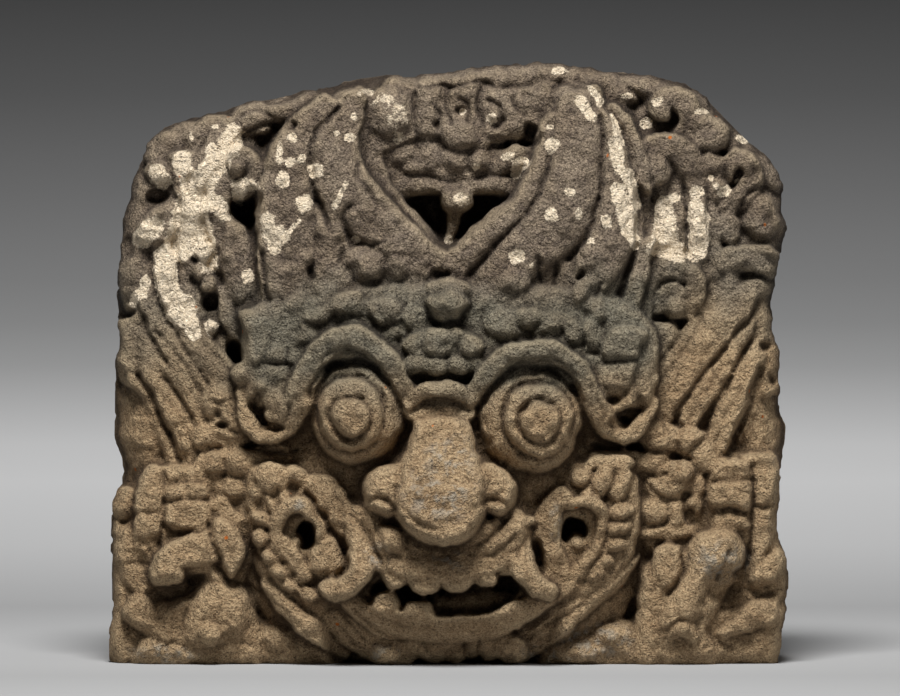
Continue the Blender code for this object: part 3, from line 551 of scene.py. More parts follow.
# %% Gap
def gap():
    """The deep field between the horns, with a garland hung across it."""
    sink([(398, 196), (388, 178), (380, 150), (400, 140), (450, 128), (500, 132), (530, 136), (545, 128),
        (533, 156), (515, 193), (481, 220), (450, 246), (418, 222)], 60, 8)
    slab([(380, 146), (400, 138), (452, 132), (500, 144), (532, 138), (530, 172), (520, 190), (452, 192),
        (388, 190)], 56, 8, 16)
    pit(522, 131, 18, 13, 24)
    for u, v, ru, rv, top in ((398, 151, 18, 11, 66), (427, 154, 11, 16, 68), (452, 156, 15, 14, 70),
        (477, 155, 11, 13, 68), (499, 161, 13, 10, 64), (514, 154, 13, 13, 72), (393, 173, 10, 9, 56),
        (410, 164, 10, 9, 66), (458, 132, 17, 12, 80), (453, 198, 15, 12, 76), (435, 170, 12, 8, 64),
        (464, 172, 13, 8, 64)):
        lump(u, v, ru * 1.1, rv * 1.1, top, min(ru, rv))
    ridge([(392, 186, 50, 6), (412, 183, 60, 8), (434, 182, 62, 8), (452, 185, 60, 7)])
    ridge([(460, 185, 60, 7), (482, 181, 62, 8), (504, 180, 60, 9), (524, 180, 52, 7)])
    groove([(398, 172, 2.5), (420, 172, 2.5), (450, 176, 2.5), (485, 172, 2.5), (512, 172, 2.5)], 8)
    ridge([(452, 208, 62, 8), (452, 224, 54, 6), (450, 240, 46, 3)])
    sink([(400, 196), (440, 192), (442, 232), (424, 222)], 14, 6)
    sink([(468, 192), (506, 191), (488, 206), (466, 222)], 14, 6)
    lump(388, 112, 25, 29, 84, 30, 0, 2.4)


gap()
print("gap: highest point now", round(float(H.max()), 1))

# %% [markdown]
# ## The crown's curls
# Along the top and the right shoulder the hair ends in fat curls that are worn nearly smooth. Rolls that
# turn in on themselves, with a pit at the heart, give them.

# %% Crown
def crown():
    """The broken curls along the top."""
    slab([(640, 96), (660, 84), (690, 92), (722, 112), (752, 140), (778, 170), (786, 214), (782, 300),
        (752, 312), (716, 300), (690, 262), (640, 262), (636, 190), (622, 130)], 44, 10, 16)
    for u, v, ru, rv, top in ((428, 106, 16, 34, 68), (464, 94, 19, 29, 67), (494, 110, 17, 28, 68),
        (531, 97, 22, 16, 67), (440, 76, 26, 13, 52), (500, 74, 34, 15, 54), (560, 70, 36, 14, 52),
        (600, 76, 32, 13, 50), (620, 86, 20, 15, 56), (404, 84, 22, 12, 56), (478, 136, 10, 9, 66),
        (250, 116, 20, 17, 60), (276, 106, 24, 13, 62), (300, 96, 20, 12, 56), (655, 82, 28, 15, 54),
        (690, 100, 16, 12, 52), (452, 120, 12, 14, 66), (512, 124, 12, 12, 66), (545, 92, 14, 14, 66)):
        lump(u, v, ru * 1.1, rv * 1.1, top + 2, min(ru, rv) * 1.1)
    for path in ([(448, 84), (446, 100), (450, 122)], [(480, 84), (478, 104), (481, 122)],
        [(415, 90), (412, 110), (417, 136)], [(508, 96), (512, 104), (522, 112)],
        [(418, 84), (436, 80), (452, 82), (476, 78), (500, 84), (530, 80)],
        [(552, 84), (566, 80), (584, 84)], [(628, 84), (636, 92), (640, 104)],
        [(432, 100), (440, 112), (436, 126)], [(458, 96), (468, 104), (466, 118)],
        [(488, 98), (498, 104), (500, 120)], [(238, 112), (252, 106), (268, 112)],
        [(260, 98), (280, 96), (302, 88)], [(246, 128), (262, 122), (276, 126)]):
        groove([(u, v, 3.0) for u, v in path], 13)
    for u, v, ru, rv, depth in ((286, 121, 9, 7, 16), (460, 108, 6, 5, 8), (494, 122, 6, 5, 8),
        (524, 92, 7, 5, 8), (436, 122, 5, 4, 7)):
        pit(u, v, ru, rv, depth)
    ridge([(656, 106, 64, 9), (658, 96, 70, 9), (672, 92, 73, 11), (686, 102, 72, 12), (688, 120, 68, 13),
        (678, 134, 62, 11)], 0.5)
    lump(659, 107, 11, 11, 76, 10)
    groove([(652, 118, 2.4), (664, 121, 3), (673, 112, 3), (671, 102, 2)], 12)
    groove([(672, 136, 2), (682, 126, 2.6), (688, 112, 2)], 6)
    slab([(690, 116), (700, 109), (716, 112), (729, 124), (731, 138), (722, 147), (704, 148), (690, 140)],
        72, 10, 20)
    groove([(692, 128, 2), (706, 124, 2.6), (720, 130, 2)], 6)
    groove([(686, 140, 2.6), (702, 150, 3.6), (726, 150, 3)], 14)
    ridge([(643, 166, 70, 11), (648, 150, 78, 14), (664, 143, 82, 15), (682, 150, 80, 15),
        (693, 168, 74, 14), (698, 190, 70, 12)], 0.5)
    lump(655, 167, 15, 17, 88, 13)
    groove([(664, 152, 2), (671, 164, 3), (668, 178, 3), (656, 186, 2.4)], 10)
    sink([(634, 178), (650, 186), (660, 186), (662, 200), (654, 226), (642, 236), (637, 214)], 26, 6)
    lump(710, 160, 14, 11, 72, 9)
    lump(714, 184, 14, 16, 72, 11)
    ridge([(722, 176, 64, 8), (728, 160, 70, 9), (742, 154, 73, 10), (753, 170, 70, 11), (746, 188, 68, 12),
        (730, 200, 66, 11)], 0.5)
    groove([(724, 156, 2), (724, 172, 3), (732, 184, 3), (741, 172, 2.4)], 11)
    groove([(700, 172, 2), (712, 171, 2.6), (722, 174, 2)], 7)
    lump(766, 172, 21, 24, 54, 18)
    slab([(742, 200), (752, 188), (768, 187), (780, 200), (781, 220), (770, 236), (752, 236), (741, 220)],
        66, 14, 26)
    groove([(738, 206, 2.4), (748, 190, 3), (764, 183, 3), (780, 190, 2.4)], 12)
    lump(728, 224, 13, 17, 70, 12)
    groove([(716, 212, 2), (716, 232, 3), (726, 244, 3), (742, 240, 2)], 12)
    ridge([(716, 278, 64, 9), (722, 260, 70, 12), (740, 254, 74, 14), (762, 256, 72, 14),
        (778, 266, 62, 11)], 0.5)
    ridge([(744, 284, 58, 11), (760, 282, 60, 13), (774, 290, 50, 9)], 0.6)
    groove([(730, 276, 2.4), (748, 272, 3.4), (768, 276, 3.4), (782, 282, 2.4)], 12)
    groove([(736, 246, 2), (754, 250, 2.4), (772, 256, 2)], 6)
    sink([(752, 296), (782, 292), (784, 318), (766, 314), (754, 304)], 26, 6)


crown()
print("crown: highest point now", round(float(H.max()), 1))

# %% [markdown]
# ## Locks on the left
# Long parallel locks fall from the crown to the shoulder. They are ridges beside each other, with hooks and
# holed lumps between.

# %% Left side
def left_side():
    """The strands and broken curls between the left horn and the left edge."""
    slab([(232, 122), (252, 134), (262, 170), (252, 196), (232, 204), (252, 250), (256, 300), (244, 330),
        (220, 330), (205, 345), (175, 350), (150, 340), (120, 300), (114, 262), (122, 222), (134, 178),
        (156, 148), (195, 130)], 50, 10, 16)
    ridge([(226, 128, 58, 14), (214, 148, 66, 15), (202, 168, 68, 17), (191, 190, 68, 15),
        (188, 215, 68, 14), (187, 240, 66, 13), (182, 262, 64, 12), (184, 290, 64, 13), (191, 320, 60, 12)],
        0.45)
    ridge([(214, 168, 66, 12), (216, 196, 68, 12), (213, 222, 66, 11), (212, 244, 60, 9)], 0.45)
    ridge([(160, 240, 58, 10), (161, 264, 66, 14), (167, 290, 68, 14), (176, 322, 66, 14)], 0.45)
    slab([(163, 152), (176, 147), (191, 149), (189, 168), (183, 186), (175, 198), (168, 184), (166, 168)],
        68, 5, 14)
    lump(154, 168, 15, 12, 68, 11)
    slab([(133, 226), (141, 209), (158, 201), (174, 196), (178, 212), (173, 231), (156, 241), (142, 241)],
        66, 8, 16)
    groove([(136, 226, 2), (150, 228, 2.6), (166, 230, 2)], 6)
    for path, w, depth in (([(204, 184), (201, 212), (203, 238), (211, 256)], 3, 12),
        ([(190, 168), (180, 192), (175, 220), (174, 250), (178, 280)], 3, 11),
        ([(196, 186), (194, 216), (194, 240)], 1.8, 4), ([(184, 202), (182, 230), (181, 254)], 1.8, 4),
        ([(168, 258), (174, 290), (184, 322)], 2.2, 6), ([(156, 262), (160, 290), (169, 320)], 1.8, 4),
        ([(190, 282), (196, 302), (200, 322)], 2, 5), ([(212, 180), (212, 206), (208, 232)], 1.8, 4),
        ([(222, 140), (208, 160), (196, 178)], 2, 4)):
        groove([(u, v, w) for u, v in path], depth)
    for u, v, ru, rv, top in ((199, 251, 9, 9, 74), (196, 268, 8, 9, 72), (206, 282, 8, 8, 74),
        (216, 262, 6, 9, 68), (208, 324, 8, 9, 66)):
        lump(u, v, ru, rv, top, 8)
    for u, v, ru, rv, depth in ((190, 258, 4, 5, 9), (191, 277, 4, 6, 9), (209, 300, 13, 9, 14),
        (153, 192, 13, 9, 12), (147, 199, 6, 5, 6), (128, 295, 6, 6, 12), (126, 244, 6, 14, 10)):
        pit(u, v, ru, rv, depth)
    lump(240, 172, 20, 25, 80, 18)
    ridge([(230, 158, 78, 6), (234, 151, 84, 7), (243, 152, 86, 8), (250, 162, 86, 9), (250, 178, 82, 9)],
        0.5)
    lump(234, 166, 7, 9, 88, 7)
    groove([(243, 160, 2), (241, 172, 3), (232, 178, 2.4)], 8)
    sink([(226, 198), (244, 197), (259, 190), (257, 214), (246, 224), (230, 214)], 40, 6)
    slab([(222, 215), (238, 222), (250, 243), (255, 270), (253, 298), (240, 306), (227, 298), (218, 270),
        (215, 240)], 74, 11, 26)
    groove([(214, 258, 2.4), (221, 284, 3), (227, 318, 2.4)], 11)
    groove([(224, 262, 1.8), (231, 288, 2.2), (235, 308, 1.8)], 5)
    lump(134, 276, 21, 24, 60, 13)
    groove([(120, 268, 2), (130, 262, 2.6), (142, 268, 2)], 7)
    groove([(118, 286, 2), (130, 282, 2.6), (140, 288, 2)], 7)
    ridge([(141, 286, 60, 10), (149, 308, 64, 12), (158, 334, 62, 12)], 0.5)
    groove([(148, 254, 2.4), (152, 286, 3.4), (162, 312, 3.4), (172, 334, 2.4)], 14)
    sink([(116, 302), (132, 306), (134, 316), (122, 322), (114, 312)], 24, 5)
    for u, v, ru, rv, top in ((133, 184, 10, 22, 42), (129, 216, 10, 16, 42), (135, 320, 7, 10, 56),
        (124, 330, 15, 14, 54), (123, 350, 14, 15, 54), (130, 368, 10, 12, 56), (152, 150, 14, 12, 54),
        (192, 134, 26, 15, 54), (170, 138, 18, 10, 52), (214, 122, 20, 9, 54)):
        lump(u, v, ru * 1.1, rv * 1.1, top, min(ru, rv) * 0.8)
    slab([(118, 330), (150, 316), (205, 330), (250, 330), (262, 360), (252, 392), (236, 400), (215, 430),
        (206, 470), (180, 480), (166, 470), (150, 430), (132, 392), (114, 372)], 56, 8, 14)
    sink([(112, 364), (122, 366), (126, 382), (116, 390), (110, 380)], 20, 5)
    ridge([(146, 338, 60, 11), (152, 372, 66, 15), (164, 399, 68, 15), (177, 423, 70, 15),
        (185, 447, 68, 13), (189, 468, 64, 10)], 0.5)
    ridge([(150, 322, 64, 10), (163, 345, 68, 11), (177, 372, 74, 15), (190, 396, 74, 14),
        (199, 416, 70, 11)], 0.5)
    ridge([(178, 318, 68, 17), (190, 342, 74, 19), (206, 362, 76, 20), (220, 386, 76, 16)], 0.5)
    for path, w, depth in (([(139, 312), (146, 332), (156, 350), (167, 366)], 3, 14),
        ([(157, 374), (172, 393), (183, 408), (191, 424)], 2.6, 11),
        ([(150, 387), (160, 398), (172, 410), (184, 430)], 2, 6),
        ([(152, 328), (164, 340), (178, 358), (190, 377), (202, 398)], 2.4, 10),
        ([(156, 302), (164, 318), (175, 334), (188, 354), (201, 373), (212, 392)], 3, 14),
        ([(137, 372), (145, 391), (154, 412), (166, 436), (178, 464)], 4, 18),
        ([(168, 316), (180, 334), (194, 354), (208, 374)], 2, 5),
        ([(186, 314), (200, 336), (216, 356), (228, 374)], 2.2, 7),
        ([(158, 342), (170, 360), (184, 384), (194, 404)], 1.8, 4),
        ([(150, 356), (160, 378), (176, 400), (190, 432)], 1.8, 4),
        ([(170, 424), (178, 444), (184, 466)], 2, 6), ([(198, 322), (214, 342), (230, 358)], 2, 5)):
        groove([(u, v, w) for u, v in path], depth)
    ridge([(222, 290, 62, 8), (226, 315, 68, 9), (233, 336, 70, 9)], 0.5)
    ridge([(246, 312, 76, 11), (247, 340, 82, 13), (247, 362, 80, 10)], 0.5)
    sink([(222, 334), (232, 338), (242, 346), (242, 362), (232, 366), (224, 352)], 26, 6)
    for u, v, ru, rv, top, turn in ((217, 402, 17, 20, 88, 0), (228, 420, 15, 19, 88, 20),
        (204, 436, 15, 14, 82, 0), (212, 428, 10, 9, 78, 0), (214, 464, 11, 13, 88, 0),
        (236, 464, 17, 13, 90, -20), (201, 466, 7, 12, 80, 0), (204, 484, 8, 9, 80, 0),
        (232, 486, 13, 14, 86, 0), (216, 483, 6, 8, 78, 0), (228, 440, 16, 7, 78, 0)):
        lump(u, v, ru * 1.1, rv * 1.1, top, min(ru, rv) * 0.8, turn)
    for path in (((206, 398), (216, 404), (228, 398)), ((216, 414), (222, 428), (236, 432)),
        ((206, 446), (222, 450), (240, 448)), ((222, 456), (224, 470), (222, 484)),
        ((208, 474), (220, 476), (238, 478)), ((204, 418), (212, 420), (216, 410))):
        groove([(u, v, 2.4) for u, v in path], 9)
    pit(220, 424, 6, 4, 14)
    groove([(216, 448, 2.6), (236, 450, 3.4), (262, 453, 3.4)], 16)


left_side()
print("left side: highest point now", round(float(H.max()), 1))

# %% [markdown]
# ## Locks on the right
# The same locks mirror on the right, but the carver made them steeper, and a ring-shaped volute sits at
# their head.

# %% Right side
def right_side():
    """The strands, the ring volute and the broken curls between the right horn and the right edge."""
    slab([(640, 180), (700, 170), (720, 200), (722, 260), (752, 290), (764, 310), (778, 350), (782, 384),
        (760, 400), (740, 440), (716, 470), (660, 500), (640, 440), (648, 380), (636, 340), (636, 250)], 54,
        8, 14)
    ridge([(672, 172, 66, 11), (668, 200, 70, 15), (669, 228, 72, 15), (670, 250, 68, 14)], 0.4)
    ridge([(692, 166, 68, 10), (696, 200, 72, 12), (697, 230, 72, 12), (696, 256, 66, 10)], 0.4)
    ridge([(706, 176, 62, 7), (712, 214, 66, 8), (712, 246, 66, 8), (704, 272, 66, 8)], 0.5)
    groove([(682, 172, 2), (685, 206, 3.4), (684, 250, 3)], 12)
    groove([(704, 178, 2), (708, 214, 2.8), (708, 258, 2)], 9)
    groove([(668, 186, 1.6), (666, 214, 2), (670, 244, 1.6)], 4)
    groove([(695, 186, 1.6), (698, 214, 2), (697, 246, 1.6)], 4)
    groove([(656, 254, 2), (672, 258, 4), (690, 260, 3)], 12)
    ridge([(690, 310, 74, 8), (696, 292, 78, 9), (692, 274, 82, 10), (674, 265, 84, 11), (655, 270, 84, 11),
        (646, 286, 84, 10), (642, 308, 82, 9), (640, 332, 82, 8)], 0.5)
    pit(669, 296, 17, 19, 20)
    ridge([(659, 306, 76, 5), (661, 292, 80, 6), (672, 284, 82, 6), (683, 290, 80, 5)], 0.6)
    lump(675, 303, 14, 14, 86, 20)
    groove([(652, 314, 3), (668, 320, 4), (688, 318, 3)], 16)
    groove([(648, 276, 1.8), (656, 264, 2.2), (672, 258, 1.8)], 5)
    slab([(652, 318), (676, 322), (676, 336), (660, 356), (648, 360), (648, 336)], 78, 6, 14)
    lump(644, 348, 7, 10, 88, 10)
    ridge([(727, 268, 64, 11), (724, 290, 66, 13), (712, 310, 66, 13)], 0.5)
    groove([(729, 288, 2.4), (727, 300, 3), (722, 312, 2)], 13)
    for path, roundness in (([(746, 292, 66, 12), (726, 318, 74, 20), (702, 350, 80, 23), (680, 382, 82, 22),
         (664, 408, 78, 15)], 0.35), ([(706, 306, 68, 9), (684, 336, 74, 9), (668, 358, 76, 8),
        (655, 376, 76, 6)], 0.5), ([(748, 318, 64, 8), (733, 343, 72, 11), (717, 370, 76, 12),
        (702, 396, 78, 12), (690, 418, 76, 9)], 0.4), ([(760, 342, 60, 9), (748, 366, 70, 13),
        (736, 394, 74, 14), (724, 422, 76, 13), (714, 446, 74, 11)], 0.4)):
        ridge(path, roundness)
    for path, w, depth in (([(699, 306), (678, 336), (666, 351), (652, 368)], 2, 7),
        ([(704, 314), (688, 337), (674, 358), (652, 388)], 2.4, 9),
        ([(756, 308), (738, 327), (723, 346), (708, 364), (692, 388), (676, 414)], 3.8, 16),
        ([(750, 331), (742, 348), (735, 366), (722, 398), (710, 430)], 2.4, 9),
        ([(749, 338), (743, 350), (738, 360)], 3.6, 14), ([(722, 362), (712, 381), (700, 401), (688, 420)],
        2, 6), ([(760, 366), (751, 390), (745, 408), (737, 428), (727, 458)], 4.2, 20),
        ([(742, 388), (731, 404), (723, 422), (714, 444)], 2, 7),
        ([(738, 310), (718, 336), (700, 362)], 1.6, 4), ([(726, 330), (706, 358), (686, 386)], 1.6, 3),
        ([(755, 352), (746, 372), (738, 388)], 1.6, 4), ([(712, 340), (692, 370), (672, 396)], 1.6, 3)):
        groove([(u, v, w) for u, v in path], depth)
    for u, v, ru, rv, top, turn in ((765, 322, 12, 19, 58, 20), (772, 352, 9, 13, 54, 20),
        (778, 380, 7, 11, 46, 0), (768, 306, 11, 13, 52, 0), (645, 376, 12, 11, 92, 0),
        (660, 436, 21, 15, 90, -10), (650, 428, 13, 9, 90, 20), (690, 442, 15, 14, 90, 30),
        (703, 456, 11, 14, 86, 35), (650, 462, 17, 13, 88, 10), (668, 480, 22, 19, 90, 20),
        (681, 470, 11, 10, 94, 0), (696, 483, 8, 16, 82, 0), (692, 505, 8, 9, 84, 0),
        (656, 512, 14, 14, 86, 20), (676, 514, 10, 18, 84, 0), (667, 531, 26, 9, 82, 5)):
        lump(u, v, ru * 1.1, rv * 1.1, top, min(ru, rv) * 0.8, turn)
    sink([(757, 338), (768, 336), (773, 345), (762, 350)], 16, 4)
    sink([(766, 370), (776, 372), (777, 384), (769, 382)], 16, 4)
    for path, w, depth in (([(706, 436), (694, 450), (678, 462)], 3, 12),
        ([(640, 472), (656, 476), (668, 472)], 2.8, 11), ([(648, 526), (660, 525), (669, 518)], 2.6, 10),
        ([(644, 541), (664, 541), (684, 540)], 2.8, 11), ([(642, 446), (656, 450), (672, 450)], 2.8, 10),
        ([(664, 424), (672, 434), (682, 432)], 2.2, 7), ([(646, 434), (658, 436), (668, 430)], 2, 6),
        ([(676, 444), (682, 456), (678, 468)], 2.4, 9), ([(650, 488), (662, 496), (676, 498)], 2.6, 10),
        ([(684, 490), (684, 506), (686, 520)], 2.6, 10), ([(654, 474), (664, 482), (678, 480)], 2.2, 7)):
        groove([(u, v, w) for u, v in path], depth)
    pit(690, 517, 6, 10, 18)
    sink([(642, 540), (662, 541), (654, 560), (642, 562)], 18, 5)


right_side()
print("right side: highest point now", round(float(H.max()), 1))

# %% [markdown]
# ## Forehead
# A boss and a lobed flower fill the middle of the forehead, and rows of small curls follow each brow. Curls
# that repeat are set by a loop along an arc.

# %% Forehead
def forehead():
    """A ball and an open flower over the nose, and rows of worn curls along the brows."""
    slab([(236, 345), (250, 305), (330, 284), (445, 278), (560, 284), (630, 300), (656, 340), (650, 400),
        (600, 404), (578, 362), (534, 342), (494, 358), (472, 388), (440, 394), (410, 390), (392, 358),
        (352, 330), (314, 350), (296, 400), (246, 400)], 114, 14, 26)
    for u, v, ru, rv, top, turn in ((316, 313, 18, 9, 126, 25), (344, 301, 17, 13, 131, 10),
        (380, 308, 21, 13, 131, -12), (352, 322, 15, 8, 124, 0), (411, 316, 14, 12, 127, 0),
        (392, 330, 10, 8, 122, 0), (304, 332, 12, 9, 122, 40), (412, 345, 11, 16, 127, 0),
        (294, 354, 11, 9, 122, 20), (273, 351, 13, 10, 120, 10), (273, 370, 13, 10, 120, 0),
        (290, 376, 9, 9, 116, 0), (500, 324, 22, 15, 130, 10), (526, 315, 15, 10, 131, 0),
        (550, 321, 22, 13, 130, -5), (484, 342, 10, 12, 124, 0), (569, 331, 12, 12, 128, 0),
        (589, 332, 11, 16, 128, 20), (588, 357, 14, 9, 122, 0), (576, 348, 9, 8, 122, 0),
        (644, 349, 9, 10, 112, 0), (645, 376, 12, 11, 110, 0), (238, 373, 10, 11, 110, 0),
        (594, 308, 10, 13, 124, 0)):
        lump(u, v, ru * 1.1, rv * 1.1, top, min(ru, rv) * 0.9, turn)
    for path, w, depth in (([(300, 318), (312, 324), (326, 318), (334, 310)], 2.2, 9),
        ([(332, 296), (344, 306), (358, 300)], 2, 7), ([(330, 314), (346, 313), (362, 320)], 2.4, 9),
        ([(336, 332), (356, 328), (376, 334), (392, 346)], 2.6, 10),
        ([(359, 292), (361, 306), (368, 318), (382, 324), (398, 318)], 2.4, 9),
        ([(374, 302), (376, 312), (388, 318), (396, 312)], 1.8, 6),
        ([(402, 300), (398, 312), (402, 326)], 2.2, 9), ([(404, 330), (400, 344), (404, 358)], 2.2, 9),
        ([(482, 306), (478, 322), (484, 334)], 2.4, 9), ([(490, 334), (506, 341), (520, 334)], 2.4, 10),
        ([(512, 312), (516, 324), (528, 328), (538, 320)], 2, 7),
        ([(522, 336), (536, 334), (552, 337), (562, 332)], 2.4, 9),
        ([(558, 326), (566, 342), (580, 344)], 2.4, 10), ([(579, 318), (581, 334), (580, 348)], 2.2, 9),
        ([(574, 356), (586, 350), (600, 352)], 2.2, 9), ([(260, 360), (274, 361), (288, 360)], 2.2, 9),
        ([(286, 344), (284, 358), (286, 372)], 2.2, 9), ([(300, 342), (308, 340), (314, 346)], 2, 8),
        ([(540, 312), (548, 318), (560, 316)], 1.8, 6)):
        groove([(u, v, w) for u, v in path], depth)
    slab([(236, 312), (250, 307), (262, 320), (268, 338), (262, 346), (258, 362), (248, 366), (242, 350),
        (240, 330)], 120, 6, 14)
    pit(231, 350, 9, 14, 26)
    slab([(606, 331), (618, 322), (636, 324), (646, 333), (639, 346), (634, 357), (602, 357), (600, 344)],
        130, 6, 16)
    slab([(600, 360), (634, 359), (635, 372), (630, 385), (602, 385), (597, 372)], 126, 5, 14)
    groove([(616, 364, 1.6), (618, 374, 2), (617, 383, 1.6)], 5)
    groove([(600, 359, 1.8), (618, 358, 2.2), (636, 359, 1.8)], 8)
    lump(445, 286, 22, 12, 128, 12)
    lump(445, 304, 22, 17, 150, 26)
    groove([(424, 304, 3), (431, 318, 5), (446, 325, 6), (459, 319, 5), (466, 306, 3)], 20)
    slab([(402, 350), (404, 336), (418, 326), (446, 324), (470, 328), (480, 342), (478, 358), (468, 370),
        (442, 375), (412, 371)], 134, 8, 22)
    for u, v, ru, rv, top in ((412, 342, 11, 10, 140), (436, 340, 15, 13, 146), (469, 343, 11, 10, 146),
        (414, 360, 12, 10, 141), (434, 364, 13, 9, 143), (455, 363, 12, 9, 142), (470, 358, 9, 9, 139),
        (454, 334, 10, 8, 140)):
        lump(u, v, ru * 1.1, rv * 1.1, top, min(ru, rv) * 0.7)
    for path in (((424, 334), (422, 346), (430, 355), (446, 356), (456, 348), (458, 336)),
        ((404, 352), (416, 351), (428, 356)), ((458, 352), (468, 355), (478, 350)), ((424, 360), (426, 372)),
         ((446, 358), (446, 373)), ((436, 334), (440, 342), (450, 340))):
        groove([(u, v, 2.0) for u, v in path], 7)


forehead()
print("forehead: highest point now", round(float(H.max()), 1))

# %% [markdown]
# ## Cheeks
# Each cheek carries a curling ear ornament: a ring round a drilled hole with a ball in it, and a fringe of
# leaf lobes round the edge of the face.

# %% Cheeks
def cheeks():
    """The leaves, lobes and small coils of hair beside the mouth."""
    slab([(246, 470), (262, 460), (290, 464), (320, 474), (342, 498), (346, 540), (342, 580), (330, 606),
        (300, 602), (276, 584), (257, 558), (246, 520)], 99, 8, 16)
    slab([(548, 486), (576, 460), (618, 460), (637, 478), (640, 520), (630, 556), (608, 584), (572, 600),
        (548, 594), (542, 540)], 103, 8, 16)
    slab([(250, 556), (270, 560), (300, 585), (330, 598), (352, 604), (374, 622), (402, 640), (402, 672),
        (372, 669), (345, 657), (318, 637), (290, 611), (264, 583)], 101, 14, 26)
    slab([(640, 552), (626, 562), (600, 580), (574, 588), (552, 600), (524, 618), (490, 636), (490, 668),
        (530, 658), (562, 639), (596, 607), (622, 582)], 103, 14, 26)
    for u, v, ru, rv, top, turn in ((269, 476, 17, 14, 117, -15), (280, 496, 9, 8, 115, 0),
        (267, 504, 6, 10, 113, 35), (254, 490, 6, 8, 106, 0), (259, 518, 10, 7, 112, -30),
        (258, 537, 8, 9, 111, 0), (269, 557, 11, 8, 114, -25), (279, 571, 10, 7, 114, -10),
        (292, 584, 8, 7, 113, -20), (307, 594, 11, 7, 114, -25), (294, 472, 11, 9, 114, 0),
        (621, 511, 13, 8, 118, 25), (618, 528, 12, 7, 116, 15), (615, 543, 12, 7, 116, 10),
        (606, 559, 9, 7, 114, 0), (596, 573, 10, 6, 112, 20), (580, 476, 10, 9, 120, 30),
        (602, 480, 11, 16, 121, -25), (621, 484, 11, 17, 118, -25), (588, 488, 9, 7, 117, 20),
        (608, 462, 24, 9, 116, 0)):
        lump(u, v, ru * 1.08, rv * 1.08, top, min(ru, rv) * 0.8, turn)
    for path, depth in ((((592, 468), (590, 480), (594, 492)), 10),
        (((613, 468), (612, 484), (604, 500)), 11), (((634, 476), (630, 492), (622, 502)), 9),
        (((611, 520), (622, 520), (632, 514)), 10), (((608, 536), (620, 536), (629, 531)), 9),
        (((604, 551), (614, 551), (624, 547)), 9), (((572, 484), (580, 487), (588, 482)), 8),
        (((259, 497), (266, 513), (270, 528)), 9), (((272, 487), (274, 500), (270, 512)), 8),
        (((270, 548), (284, 570), (302, 590)), 10), (((250, 528), (258, 527), (267, 530)), 8),
        (((252, 548), (262, 548), (270, 550)), 8)):
        groove([(u, v, 2.4) for u, v in path], depth)
    ridge([(276, 542, 110, 4.5), (290, 561, 114, 5), (303, 578, 112, 4.5)], 0.6)
    ridge([(284, 537, 112, 4.5), (296, 556, 116, 5), (308, 575, 114, 4.5)], 0.6)
    ridge([(275, 546, 110, 6), (273, 524, 116, 7), (279, 509, 122, 8), (291, 502, 126, 8),
        (303, 504, 126, 8), (311, 516, 124, 8), (316, 530, 120, 8)], 0.6)
    pit(303, 532, 10, 15, 72, -12, 3)
    lump(295, 539, 8, 9, 108, 42)
    slab([(308, 552), (314, 538), (324, 531), (334, 536), (340, 552), (339, 568), (330, 577), (316, 576),
        (307, 566)], 122, 10, 20)
    groove([(333, 534, 2), (342, 551, 3.6), (342, 567, 4), (333, 580, 3)], 22)
    ridge([(302, 486, 106, 8), (313, 483, 114, 12), (326, 491, 120, 14), (335, 507, 122, 13),
        (342, 524, 122, 10)], 0.5)
    groove([(303, 489, 2.5), (312, 502, 3.5), (318, 520, 3)], 13)
    groove([(322, 484, 1.8), (334, 498, 2.2), (342, 514, 1.8)], 5)
    ridge([(266, 582, 96, 7), (286, 608, 104, 10), (312, 630, 108, 11), (342, 650, 106, 9)], 0.5)
    groove([(270, 578, 2.4), (294, 602, 3), (324, 622, 3)], 9)
    groove([(264, 592, 1.8), (290, 620, 2.4), (326, 645, 2)], 6)
    ridge([(564, 580, 112, 10), (553, 563, 117, 13), (548, 544, 122, 14), (547, 526, 126, 14),
        (550, 508, 128, 14), (560, 496, 127, 12)], 0.55)
    groove([(566, 504, 2.2), (560, 516, 2.6), (558, 534, 2.6)], 8)
    ridge([(570, 505, 124, 6), (580, 501, 126, 7), (592, 502, 124, 7), (602, 511, 120, 6)], 0.6)
    ridge([(602, 514, 114, 7), (603, 532, 115, 8), (598, 550, 115, 8), (588, 564, 114, 8),
        (572, 573, 112, 8)], 0.5)
    pit(573, 531, 13, 14, 72, 0, 3)
    lump(578, 545, 12, 12, 112, 48)
    groove([(609, 518, 2), (606, 540, 2.8), (598, 558, 2.8), (587, 574, 2)], 13)


cheeks()
print("cheeks: highest point now", round(float(H.max()), 1))

# %% [markdown]
# ## Mouth
# The lip is a soft band over a row of blunt teeth, the mouth behind them is cut deep, and a crescent of
# lower lip hangs under it with beard curls below.

